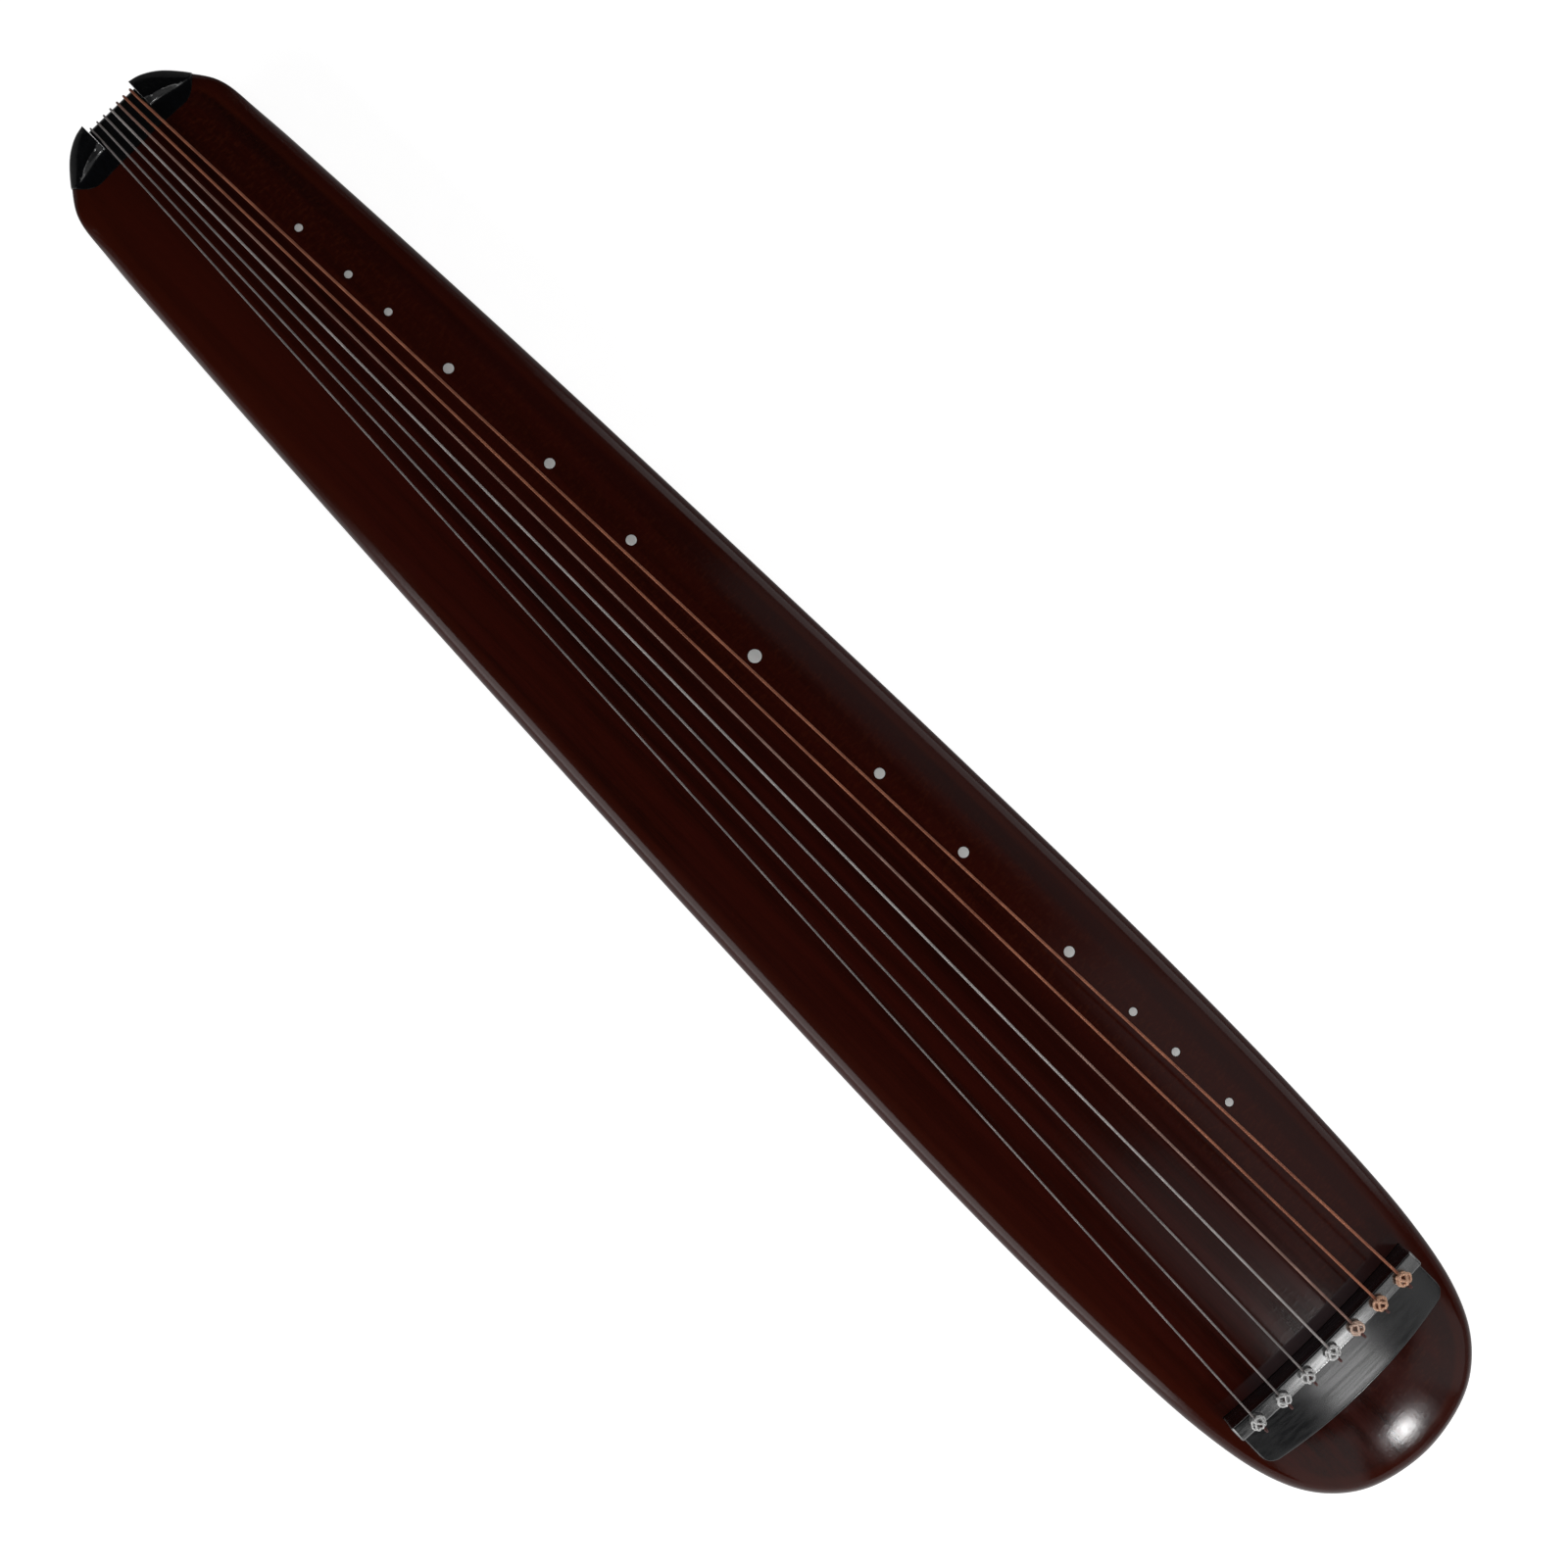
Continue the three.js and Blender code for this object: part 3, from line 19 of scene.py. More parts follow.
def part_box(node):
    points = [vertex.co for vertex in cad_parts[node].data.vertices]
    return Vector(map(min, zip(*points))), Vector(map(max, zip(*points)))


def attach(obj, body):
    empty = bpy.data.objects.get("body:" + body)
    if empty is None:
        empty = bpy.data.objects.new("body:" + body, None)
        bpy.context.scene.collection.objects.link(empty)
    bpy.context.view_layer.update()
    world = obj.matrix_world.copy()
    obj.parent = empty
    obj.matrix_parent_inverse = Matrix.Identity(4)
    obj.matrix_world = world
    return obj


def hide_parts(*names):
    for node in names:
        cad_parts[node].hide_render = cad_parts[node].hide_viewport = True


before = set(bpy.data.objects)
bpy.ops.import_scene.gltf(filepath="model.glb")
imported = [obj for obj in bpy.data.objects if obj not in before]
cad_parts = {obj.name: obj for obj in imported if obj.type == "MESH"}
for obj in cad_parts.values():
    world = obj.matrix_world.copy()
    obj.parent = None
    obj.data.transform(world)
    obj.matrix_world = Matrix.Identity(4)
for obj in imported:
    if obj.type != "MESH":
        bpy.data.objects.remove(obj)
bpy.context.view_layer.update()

logging.basicConfig(level=logging.INFO, format="%(message)s")
LOG = logging.getLogger("guqin")

STRING_NUMBERS = range(1, 8)
MIDDLE_STRING = 4
STUD_NUMBERS = range(1, 14)
SOUND_HOLE_RIMS = ("dragon_pool_rim", "phoenix_pool_rim")
FIT_GAP = 0.0003
OVERRUN = 0.004
CORD_RADIUS = 0.0009
CORD_HOLE_RADIUS = 0.0016
CORD_STEP = 0.0006
CORD_LAY = 0.0042
STRAND_SHARE, TWIST_SHARE = 0.52, 0.48
SAME_POINT = 1e-7
BEND_POINTS = 9
BOARD_CREASE, TURNED_CREASE, CUT_CREASE, STUD_CREASE = 28, 35, 40, 50

Row = tuple[float, ...]
Colour = tuple[float, float, float, float]
Socket = bpy.types.NodeSocket
Node = bpy.types.Node
Tree = bpy.types.NodeTree
Piece = bpy.types.Object
Finish = bpy.types.Material


class Slot(Enum):
    """Material slots of the record."""

    LACQUER = "lacquer"
    BLACK_WOOD = "black_wood"
    BARE_WOOD = "bare_wood"
    PEARL = "pearl"
    COPPER = "string_copper"
    SILVER = "string_silver"
    SILK = "silk_cord"


class Side(Enum):
    """The two long sides of the instrument, as the sign of Y."""

    LEFT = 1
    RIGHT = -1

    @property
    def word(self) -> str:
        """Word that node names use for this side."""
        return self.name.lower()


INSTRUMENT = "instrument"


def peg_body(number: int) -> str:
    """Name of the body that one peg turns with."""
    return f"peg_set_{number}"


def tone(red: int, green: int, blue: int) -> tuple[float, float, float, float]:
    """Turns a display colour into the linear one that materials hold.

    Args:
        red: Red from 0 to 255.
        green: Green from 0 to 255.
        blue: Blue from 0 to 255.

    Returns:
        Linear red, green and blue, and an alpha of 1.
    """
    knee, slope, offset, power = 0.04045, 12.92, 0.055, 2.4
    shares = [value / 255 for value in (red, green, blue)]
    linear = [s / slope if s <= knee else ((s + offset) / (1 + offset)) ** power for s in shares]
    return (*linear, 1.0)


class Wiring:
    """Adds nodes to one tree and links them."""

    def __init__(self, tree: Tree) -> None:
        """Keeps the tree that the nodes go into."""
        self.tree = tree

    def feed(self, socket: Socket, value: object) -> None:
        """Links a socket to an output, or sets its value.

        Args:
            socket: The input.
            value: An output to link, or a plain value.
        """
        if isinstance(value, Socket):
            self.tree.links.new(value, socket)
        else:
            socket.default_value = value

    def node(self, kind: str, inputs: dict[str | int, object] | None = None, **settings: object) -> Node:
        """Adds one node.

        Args:
            kind: Blender's type name of the node.
            inputs: Values or outputs for its inputs, by name or number.
            **settings: Properties of the node, set before its inputs.

        Returns:
            The new node.
        """
        made = self.tree.nodes.new(kind)
        for name, value in settings.items():
            setattr(made, name, value)
        for key, value in (inputs or {}).items():
            self.feed(made.inputs[key], value)
        return made

    def math(self, operation: str, *values: object) -> Socket:
        """Adds a Math node and returns its result."""
        return self.node("ShaderNodeMath", dict(enumerate(values)), operation=operation).outputs[0]

    def times(self, first: object, *others: object) -> Socket:
        """Multiplies values and returns the product."""
        return reduce(lambda made, other: self.math("MULTIPLY", made, other), others, first)

    def vector(self, operation: str, *values: object, **named: object) -> Socket:
        """Adds a Vector Math node and returns its vector."""
        inputs = {**dict(enumerate(values)), **named}
        return self.node("ShaderNodeVectorMath", inputs, operation=operation).outputs[0]

    def split(self, vector: Socket) -> list[Socket]:
        """X, y and z of a vector."""
        return list(self.node("ShaderNodeSeparateXYZ", {0: vector}).outputs)

    def attribute(self, name: str) -> Socket:
        """Number that the mesh stores under a name, for a material."""
        return self.node("ShaderNodeAttribute", attribute_name=name).outputs["Fac"]

    def stored(self, name: str, kind: str = "FLOAT") -> Socket:
        """Values that the mesh stores under a name, for a geometry tree."""
        return self.node("GeometryNodeInputNamedAttribute", {"Name": name}, data_type=kind).outputs[0]

    def ramp(self, value: Socket, low: float, high: float, start: float = 0.0, end: float = 1.0) -> Socket:
        """Maps a value smoothly from the range low to high onto the range start to end, held at both ends."""
        inputs = {"Value": value, "From Min": low, "From Max": high, "To Min": start, "To Max": end}
        return self.node("ShaderNodeMapRange", inputs, interpolation_type="SMOOTHSTEP").outputs[0]

    def band(self, value: Socket, centre: float, half: float, soft: float) -> Socket:
        """Mask of 1 where a value is within half of centre, which fades out over soft."""
        away = self.math("ABSOLUTE", self.math("SUBTRACT", value, centre))
        return self.ramp(away, half, half + soft, 1.0, 0.0)

    def mix(self, share: object, first: object, second: object, label: str = "") -> Socket:
        """Mixes two colours by a share and returns the colour."""
        inputs = {0: share, 6: first, 7: second}
        return self.node("ShaderNodeMix", inputs, data_type="RGBA", label=label).outputs[2]

    def lay(self, colour: object, tint: object, strength: float, *masks: Socket, label: str = "") -> Socket:
        """Lays a tint over a colour by its strength, where every mask is high."""
        return self.mix(self.times(*masks, strength), colour, tint, label)

    def noise(self, place: Socket, scale: object, detail: float = 2.0, roughness: float = 0.5) -> Socket:
        """Adds a Noise texture and returns its value."""
        inputs = {"Vector": place, "Scale": scale, "Detail": detail, "Roughness": roughness}
        return self.node("ShaderNodeTexNoise", inputs).outputs["Fac"]


def open_group(name: str, inputs: dict[str, str],
               outputs: dict[str, str]) -> tuple[Wiring, dict[str, Socket], Node]:
    """Starts a shader node group with named sockets.

    Args:
        name: Name of the group.
        inputs: Socket types by input name.
        outputs: Socket types by output name.

    Returns:
        The wiring of the group, its inputs by name, and the output node.
    """
    group = bpy.data.node_groups.new(name, "ShaderNodeTree")
    for socket, kind in inputs.items():
        group.interface.new_socket(name=socket, in_out="INPUT", socket_type=kind)
    for socket, kind in outputs.items():
        group.interface.new_socket(name=socket, in_out="OUTPUT", socket_type=kind)
    wiring = Wiring(group)
    entry = wiring.node("NodeGroupInput")
    return wiring, {s.name: s for s in entry.outputs if s.name}, wiring.node("NodeGroupOutput")


VECTOR, FLOAT = "NodeSocketVector", "NodeSocketFloat"


class Effects:
    """Shader groups that several finishes share."""

    def __init__(self) -> None:
        """Builds every group once."""
        self.grain = self._grain()
        self.mottle = self._mottle()
        self.wear = self._wear()

    @staticmethod
    def _grain() -> Tree:
        """Long wood grain: broad streaks, fine lines and a height for bump.

        Returns:
            The group.
        """
        inputs = {"Position": VECTOR, "Length": FLOAT, "Width": FLOAT}
        outputs = {"Streak": FLOAT, "Line": FLOAT, "Height": FLOAT}
        w, given, result = open_group("long_grain", inputs, outputs)
        along = w.math("DIVIDE", 1.0, given["Length"])
        across = w.math("DIVIDE", 1.0, given["Width"])
        squeeze = w.node("ShaderNodeCombineXYZ", {"X": along, "Y": across, "Z": across}).outputs[0]
        place = w.vector("MULTIPLY", given["Position"], squeeze)
        streak = w.noise(place, 1.0, 4.0, 0.55)
        line = w.noise(place, 5.0, 3.0, 0.6)
        height = w.math("ADD", w.times(streak, 0.6), w.times(line, 0.4))
        w.feed(result.inputs["Streak"], w.ramp(streak, 0.34, 0.66))
        w.feed(result.inputs["Line"], w.ramp(line, 0.36, 0.64))
        w.feed(result.inputs["Height"], height)
        return w.tree

    @staticmethod
    def _mottle() -> Tree:
        """Broad clouds and small slanting flecks, as in lacquer over figured wood.

        Returns:
            The group.
        """
        inputs = {"Position": VECTOR, "Patch Size": FLOAT, "Fleck Size": FLOAT}
        w, given, result = open_group("mottle", inputs, {"Patch": FLOAT, "Fleck": FLOAT})
        patch = w.noise(given["Position"], w.math("DIVIDE", 1.0, given["Patch Size"]), 3.0, 0.5)
        slant = {"Vector": given["Position"], "Rotation": (0.0, 0.0, 0.7), "Scale": (1.0, 0.45, 0.7)}
        turned = w.node("ShaderNodeMapping", slant).outputs[0]
        fleck = w.noise(turned, w.math("DIVIDE", 1.0, given["Fleck Size"]), 2.0, 0.6)
        w.feed(result.inputs["Patch"], w.ramp(patch, 0.36, 0.64))
        w.feed(result.inputs["Fleck"], w.ramp(fleck, 0.48, 0.68))
        return w.tree

    @staticmethod
    def _wear() -> Tree:
        """Rubbed edges and settled dust.

        Returns:
            The group.
        """
        inputs = {"Position": VECTOR, "Radius": FLOAT}
        w, given, result = open_group("edge_wear", inputs, {"Edge": FLOAT, "Dust": FLOAT})
        rounded = w.node("ShaderNodeBevel", {"Radius": given["Radius"]}, samples=4).outputs[0]
        facing = w.node("ShaderNodeNewGeometry").outputs["Normal"]
        match = w.node("ShaderNodeVectorMath", {0: rounded, 1: facing}, operation="DOT_PRODUCT")
        edge = w.ramp(match.outputs["Value"], 0.99, 0.86)
        broken = w.ramp(w.noise(given["Position"], 260.0, 3.0, 0.6), 0.36, 0.62)
        speckled = w.ramp(w.noise(given["Position"], 900.0, 2.0, 0.7), 0.62, 0.8)
        dust = w.times(w.ramp(w.split(facing)[2], 0.4, 1.0), speckled)
        w.feed(result.inputs["Edge"], w.times(edge, broken))
        w.feed(result.inputs["Dust"], dust)
        return w.tree


class Material:
    """One material under construction, with its shader and its shared effects."""

    def __init__(self, name: str) -> None:
        """Makes an empty node material with a Principled shader.

        Args:
            name: Name of the material.
        """
        self.data = bpy.data.materials.new(name)
        self.data.use_nodes = True
        self.wiring = Wiring(self.data.node_tree)
        self.shader = self.data.node_tree.nodes["Principled BSDF"]
        self.place = self.wiring.node("ShaderNodeTexCoord").outputs["Object"]

    def effect(self, group: Tree, **values: object) -> dict[str, Socket]:
        """Places a shared group, with the piece's position linked.

        Args:
            group: The shader group.
            **values: Its input values, with underscores for spaces.

        Returns:
            The group's outputs by name.
        """
        made = self.wiring.node("ShaderNodeGroup", node_tree=group)
        self.wiring.feed(made.inputs["Position"], self.place)
        for name, value in values.items():
            self.wiring.feed(made.inputs[name.replace("_", " ")], value)
        return {socket.name: socket for socket in made.outputs}

    def set(self, **values: object) -> None:
        """Sets or links inputs of the shader, with underscores for spaces."""
        for name, value in values.items():
            self.wiring.feed(self.shader.inputs[name.replace("_", " ")], value)

    def bump(self, height: Socket, distance: float, strength: float = 1.0) -> None:
        """Feeds the shader's normal from a height."""
        inputs = {"Height": height, "Distance": distance, "Strength": strength}
        self.set(Normal=self.wiring.node("ShaderNodeBump", inputs).outputs["Normal"])


@dataclass(frozen=True)
class Lacquer:
    """Dark red-brown lacquer over long grain, with bands that follow the body's edge."""

    effects: Effects
    deep: Colour = tone(32, 8, 4)
    body: Colour = tone(59, 15, 8)
    glow: Colour = tone(92, 40, 18)
    ember: Colour = tone(70, 22, 9)
    shade: Colour = tone(28, 11, 11)
    worn: Colour = tone(70, 34, 24)
    grey: Colour = tone(78, 66, 68)
    dust: Colour = tone(110, 98, 90)
    roughness: tuple[float, float] = (0.12, 0.17)

    def build(self) -> Finish:
        """Makes the material of the two boards, in layers from the grain up.

        Returns:
            The material.
        """
        made = Material("lacquer")
        w = made.wiring
        grain = made.effect(self.effects.grain, Length=0.42, Width=0.011)
        fine = made.effect(self.effects.grain, Length=0.11, Width=0.0021)
        mottle = made.effect(self.effects.mottle, Patch_Size=0.13, Fleck_Size=0.0024)
        wear = made.effect(self.effects.wear, Radius=0.0016)
        share, inset, _ = w.split(w.node("ShaderNodeUVMap", uv_map="plan").outputs[0])
        x = w.split(made.place)[0]
        studded = w.ramp(share, 0.02, 0.12)
        layers = {
            "fine lines": (self.ember, 0.3, fine["Line"]),
            "clouds": (self.body, 0.38, mottle["Patch"]),
            "flecks": (self.glow, 0.26, mottle["Fleck"], w.band(share, 0.55, 0.17, 0.16)),
            "bright edge by the studs": (self.glow, 0.22, w.band(inset, 0.0125, 0.0008, 0.0024), studded,
                                         w.ramp(grain["Line"], 0.0, 1.0, 0.35, 1.0)),
            # Painted sheen and shade: a dull purple tint along the stud side's shoulder stands in for the sheen and the
            # darker rim that the light gives there.
            "dark edge by the studs": (self.shade, 0.4, w.band(inset, 0.0205, 0.003, 0.005), studded),
            "player's edge": (self.ember, 0.18, w.band(inset, 0.017, 0.004, 0.012), w.ramp(share, -0.2, -0.6),
                              w.band(x, 0.36, 0.10, 0.16)),
            "figure": (self.ember, 0.3, w.band(share, 0.42, 0.16, 0.2), w.band(x, -0.2, 0.12, 0.2),
                       w.ramp(fine["Streak"], 0.0, 1.0, 0.3, 1.0)),
            "shoulder": (self.ember, 0.45, w.band(inset, 0.008, 0.004, 0.005)),
            # Painted light: the half with the studs is lightened towards the head to make up for the dimmer lamp on
            # that side.
            "half with the studs": (self.body, 0.35, w.ramp(share, 0.1, 0.5), w.ramp(x, -0.5, -0.3)),
            "tail": (self.ember, 0.4, w.ramp(x, -0.22, -0.42), w.ramp(share, 0.15, -0.15)),
            "head's rim": (self.ember, 0.3, w.ramp(x, 0.52, 0.60), w.band(inset, 0.008, 0.003, 0.006)),
            # Painted sheen: a grey strip on the board just before the bridge stands in for the lamp's reflection, which
            # the bridge blocks there.
            "before the bridge": (self.grey, 0.85, w.band(x, 0.5035, 0.0045, 0.0015),
                                  w.band(share, 0.02, 0.15, 0.75)),
            "worn edges": (self.worn, 0.3, wear["Edge"]),
            "dust": (self.dust, 0.02, wear["Dust"]),
        }
        colour = w.mix(grain["Streak"], self.deep, self.body)
        for label, (tint, strength, *masks) in layers.items():
            colour = w.lay(colour, tint, strength, *masks, label=label)

        clouded = w.math("ADD", w.times(mottle["Patch"], 0.5), w.times(grain["Streak"], 0.5))
        made.set(Base_Color=colour, Roughness=w.ramp(clouded, 0.1, 0.9, *self.roughness), IOR=1.45,
                 Specular_IOR_Level=0.34, Coat_Weight=0.06, Coat_Roughness=0.12)
        made.bump(w.math("ADD", fine["Height"], w.times(mottle["Fleck"], 0.3)), 0.00003)
        return made.data


@dataclass(frozen=True)
class Hardwood:
    """Polished black hardwood with fine bluish lines."""

    effects: Effects
    name: str = "black_hardwood"
    deep: Colour = tone(8, 8, 9)
    pale: Colour = tone(22, 24, 29)
    worn: Colour = tone(62, 58, 56)
    dust: Colour = tone(120, 116, 110)
    turned: bool = False
    rubbed: float = 0.4
    specular: float = 0.5
    index: float = 1.5
    roughness: tuple[float, float] = (0.12, 0.19)

    def build(self) -> Finish:
        """Makes the material of the black fittings.

        Returns:
            The material.
        """
        made = Material(self.name)
        w = made.wiring
        if self.turned:
            across = {"Vector": made.place, "Rotation": (0.0, 0.0, math.pi / 2)}
            made.place = w.node("ShaderNodeMapping", across).outputs[0]
        grain = made.effect(self.effects.grain, Length=0.06, Width=0.0022)
        mottle = made.effect(self.effects.mottle, Patch_Size=0.03, Fleck_Size=0.0015)
        wear = made.effect(self.effects.wear, Radius=0.0009)
        colour = w.lay(self.deep, self.pale, 0.6, grain["Line"])
        colour = w.lay(colour, self.deep, 0.4, mottle["Patch"])
        colour = w.lay(colour, self.worn, self.rubbed, wear["Edge"])
        colour = w.lay(colour, self.dust, 0.004, wear["Dust"])
        made.set(Base_Color=colour, Roughness=w.ramp(grain["Streak"], 0.0, 1.0, *self.roughness),
                 IOR=self.index, Specular_IOR_Level=self.specular, Coat_Weight=0.1, Coat_Roughness=0.14)
        made.bump(grain["Height"], 0.00001)
        return made.data


@dataclass(frozen=True)
class BareWood:
    """Unfinished light wood inside the body."""

    effects: Effects
    early: Colour = tone(176, 138, 94)
    late: Colour = tone(120, 84, 52)

    def build(self) -> Finish:
        """Makes the material of the hidden wood.

        Returns:
            The material.
        """
        made = Material("bare_wood")
        w = made.wiring
        grain = made.effect(self.effects.grain, Length=0.16, Width=0.0045)
        mottle = made.effect(self.effects.mottle, Patch_Size=0.05, Fleck_Size=0.002)
        wear = made.effect(self.effects.wear, Radius=0.001)
        colour = w.mix(grain["Streak"], self.early, self.late)
        colour = w.lay(colour, self.late, 0.25, mottle["Fleck"])
        colour = w.lay(colour, self.early, 0.2, wear["Edge"])
        made.set(Base_Color=colour, Roughness=w.ramp(grain["Line"], 0.0, 1.0, 0.6, 0.82))
        made.bump(grain["Height"], 0.00012)
        return made.data


@dataclass(frozen=True)
class Shell:
    """Polished white shell with a faint play of pink and green."""

    effects: Effects
    white: Colour = tone(252, 252, 250)
    blush: Colour = tone(249, 240, 240)
    mint: Colour = tone(238, 248, 244)

    def build(self) -> Finish:
        """Makes the material of the studs.

        Returns:
            The material.
        """
        made = Material("shell")
        w = made.wiring
        mottle = made.effect(self.effects.mottle, Patch_Size=0.004, Fleck_Size=0.0012)
        grain = made.effect(self.effects.grain, Length=0.006, Width=0.0007)
        colour = w.lay(self.white, self.blush, 0.5, mottle["Patch"])
        colour = w.lay(colour, self.mint, 0.35, grain["Streak"])
        made.set(Base_Color=colour, Roughness=w.ramp(grain["Line"], 0.0, 1.0, 0.14, 0.24),
                 Coat_Weight=0.4, Coat_Roughness=0.06)
        made.bump(grain["Height"], 0.00002)
        return made.data


class Wire(Enum):
    """Windings of the strings, by their bright and dull colour, and the painted glint that whitens their knots."""

    COPPER = ((194, 123, 92), (128, 72, 52), (250, 200, 168))
    ROSE = ((180, 143, 130), (120, 87, 76), (252, 218, 198))
    WHITE = ((213, 206, 203), (148, 142, 140), (254, 254, 253))
    SILVER = ((168, 160, 158), (112, 106, 105), (254, 254, 253))

    @classmethod
    def of(cls, number: int) -> "Wire":
        """Winding of a string by its number."""
        return {1: cls.COPPER, 2: cls.COPPER, 3: cls.ROSE, 4: cls.WHITE}.get(number, cls.SILVER)


@dataclass(frozen=True)
class WoundString:
    """String wrapped in a fine wire, with its turns as bump and as painted shade in their grooves, and a painted glint
    that whitens its knot.
    """

    effects: Effects
    wire: Wire
    turn: float = 0.00042
    metallic: float = 0.3

    def build(self) -> Finish:
        """Makes the material of one kind of string.

        Returns:
            The material.
        """
        made = Material(f"{self.wire.name.lower()}_string")
        w = made.wiring
        bright, dull, painted_knot_glint = (tone(*colour) for colour in self.wire.value)
        wave = w.math("SINE", w.times(w.attribute("along"), math.tau / self.turn))
        mottle = made.effect(self.effects.mottle, Patch_Size=0.02, Fleck_Size=0.0016)
        knot = w.ramp(w.attribute("girth"), 1.02, 1.2)
        # Painted glint: the knot is mixed to a near-white colour that stands in for the glints of light on its many
        # turns; the wire is the same.
        colour = w.mix(knot, w.lay(bright, dull, 0.55, mottle["Patch"]), painted_knot_glint)
        # Painted shade: the dull colour darkens the grooves between the wire's turns.
        colour = w.lay(colour, dull, 0.6, w.ramp(wave, -0.2, -1.0))
        rough = w.math("MULTIPLY_ADD", knot, -0.08, w.ramp(mottle["Fleck"], 0.0, 1.0, 0.30, 0.44))
        made.set(Base_Color=colour, Metallic=self.metallic, Roughness=rough)
        made.bump(wave, 0.00003)
        return made.data


@dataclass(frozen=True)
class Silk:
    """Twisted silk cord in dark red, with fibres along each strand."""

    effects: Effects
    bright: Colour = tone(120, 42, 30)
    dark: Colour = tone(52, 16, 14)
    fibres: float = 9.0
    slant: float = 2600.0

    def build(self) -> Finish:
        """Makes the material of the twisted cords.

        Returns:
            The material.
        """
        made = Material("silk")
        w = made.wiring
        turn = w.math("ADD", w.times(w.attribute("around"), self.fibres), w.times(w.attribute("along"), self.slant))
        fibre = w.math("SINE", w.times(turn, math.tau))
        mottle = made.effect(self.effects.mottle, Patch_Size=0.008, Fleck_Size=0.0006)
        colour = w.mix(w.ramp(fibre, -1.0, 1.0), self.dark, self.bright)
        colour = w.lay(colour, self.dark, 0.4, mottle["Fleck"])
        made.set(Base_Color=colour, Roughness=w.ramp(mottle["Patch"], 0.0, 1.0, 0.5, 0.68), Sheen_Weight=0.3)
        made.bump(fibre, 0.00005)
        return made.data


@dataclass(frozen=True)
class Finishes:
    """Every material of the instrument, built once."""

    lacquer: Finish
    black: Finish
    black_across: Finish
    black_crest: Finish
    bare: Finish
    shell: Finish
    strings: dict[Wire, Finish]
    silk: Finish

    @classmethod
    def build(cls) -> "Finishes":
        """Builds all materials with shared effects.

        Returns:
            The set of materials.
        """
        effects = Effects()
        return cls(
            lacquer=Lacquer(effects).build(),
            black=Hardwood(effects, specular=0.4).build(),
            # The stronger rubbed edges here are partly wear and partly a painted highlight along the plate's bevel.
            black_across=Hardwood(effects, name="black_hardwood_across", turned=True, rubbed=0.7, specular=1.0,
                                  roughness=(0.20, 0.27)).build(),
            black_crest=Hardwood(effects, name="black_hardwood_crest", turned=True, specular=1.0, index=2.2,
                                 roughness=(0.20, 0.28)).build(),
            bare=BareWood(effects).build(),
            shell=Shell(effects).build(),
            strings={wire: WoundString(effects, wire).build() for wire in Wire},
            silk=Silk(effects).build(),
        )


def link(name: str, data: bpy.types.ID) -> Piece:
    """Makes an object of a mesh, a lamp or a camera and puts it in the scene.

    Args:
        name: Name of the object.
        data: What the object shows.

    Returns:
        The object.
    """
    made = bpy.data.objects.new(name, data)
    bpy.context.scene.collection.objects.link(made)
    return made


def solid(name: str, points: Sequence[Sequence[float]], faces: Sequence[Sequence[int]],
          material: Finish) -> Piece:
    """Makes a closed mesh object with its faces turned outwards.

    Args:
        name: Name of the object.
        points: Corner points.
        faces: Point numbers of each face.
        material: Finish of every face.

    Returns:
        The object, at the origin.
    """
    mesh = bpy.data.meshes.new(name)
    mesh.from_pydata([tuple(map(float, p)) for p in points], [], [tuple(map(int, f)) for f in faces])
    work = bmesh.new()
    work.from_mesh(mesh)
    bmesh.ops.remove_doubles(work, verts=work.verts, dist=SAME_POINT)
    bmesh.ops.recalc_face_normals(work, faces=work.faces)
    work.to_mesh(mesh)
    work.free()
    mesh.materials.append(material)
    return link(name, mesh)


def ring_faces(rings: int, count: int, closed: bool = False) -> list[tuple[int, ...]]:
    """Quads between rings of equal count.

    Args:
        rings: Number of rings.
        count: Points in each ring.
        closed: Whether the last ring meets the first.

    Returns:
        The quads.
    """
    faces = []
    for ring in range(rings if closed else rings - 1):
        low, high = ring * count, (ring + 1) % rings * count
        faces += [(low + i, low + (i + 1) % count, high + (i + 1) % count, high + i) for i in range(count)]
    return faces


def loft(name: str, sections: Sequence[np.ndarray], material: Finish) -> Piece:
    """Solid through equal closed sections, with flat ends.

    Args:
        name: Name of the object.
        sections: Closed rings of points, in order.
        material: Finish.

    Returns:
        The object.
    """
    count, rings = len(sections[0]), len(sections)
    last = (rings - 1) * count
    faces = ring_faces(rings, count) + [tuple(range(count)), tuple(range(last, last + count))]
    return solid(name, np.concatenate(sections), faces, material)


def turned(name: str, profile: Sequence[Row], centre: Sequence[float], material: Finish,
           sides: int = 48, shape: Callable[[float, float], float] | None = None) -> Piece:
    """Solid turned about an upright axis.

    Args:
        name: Name of the object.
        profile: Radius and height of each ring, from the lowest to the highest.
        centre: Place of the axis.
        material: Finish.
        sides: Points round each ring.
        shape: Share of the radius at an angle and a height, for flutes and facets.

    Returns:
        The object.
    """
    angles = math.tau * np.arange(sides) / sides
    rings = []
    for radius, height in profile:
        factor = np.array([shape(a, height) if shape else 1.0 for a in angles])
        x, y = centre[0] + radius * factor * np.cos(angles), centre[1] + radius * factor * np.sin(angles)
        rings.append(np.column_stack([x, y, np.full(sides, height)]))
    return loft(name, rings, material)


def scallop(angle: float, count: int, depth: float, strength: float) -> float:
    """Share of a radius that evenly spaced hollows leave at an angle."""
    return 1 - depth * strength * (0.5 - 0.5 * math.cos(count * angle))


def prism(name: str, outline: np.ndarray, low: float, high: float, material: Finish) -> Piece:
    """Upright prism over an outline of x and y."""
    levels = [np.column_stack([outline, np.full(len(outline), z)]) for z in (low, high)]
    return loft(name, levels, material)


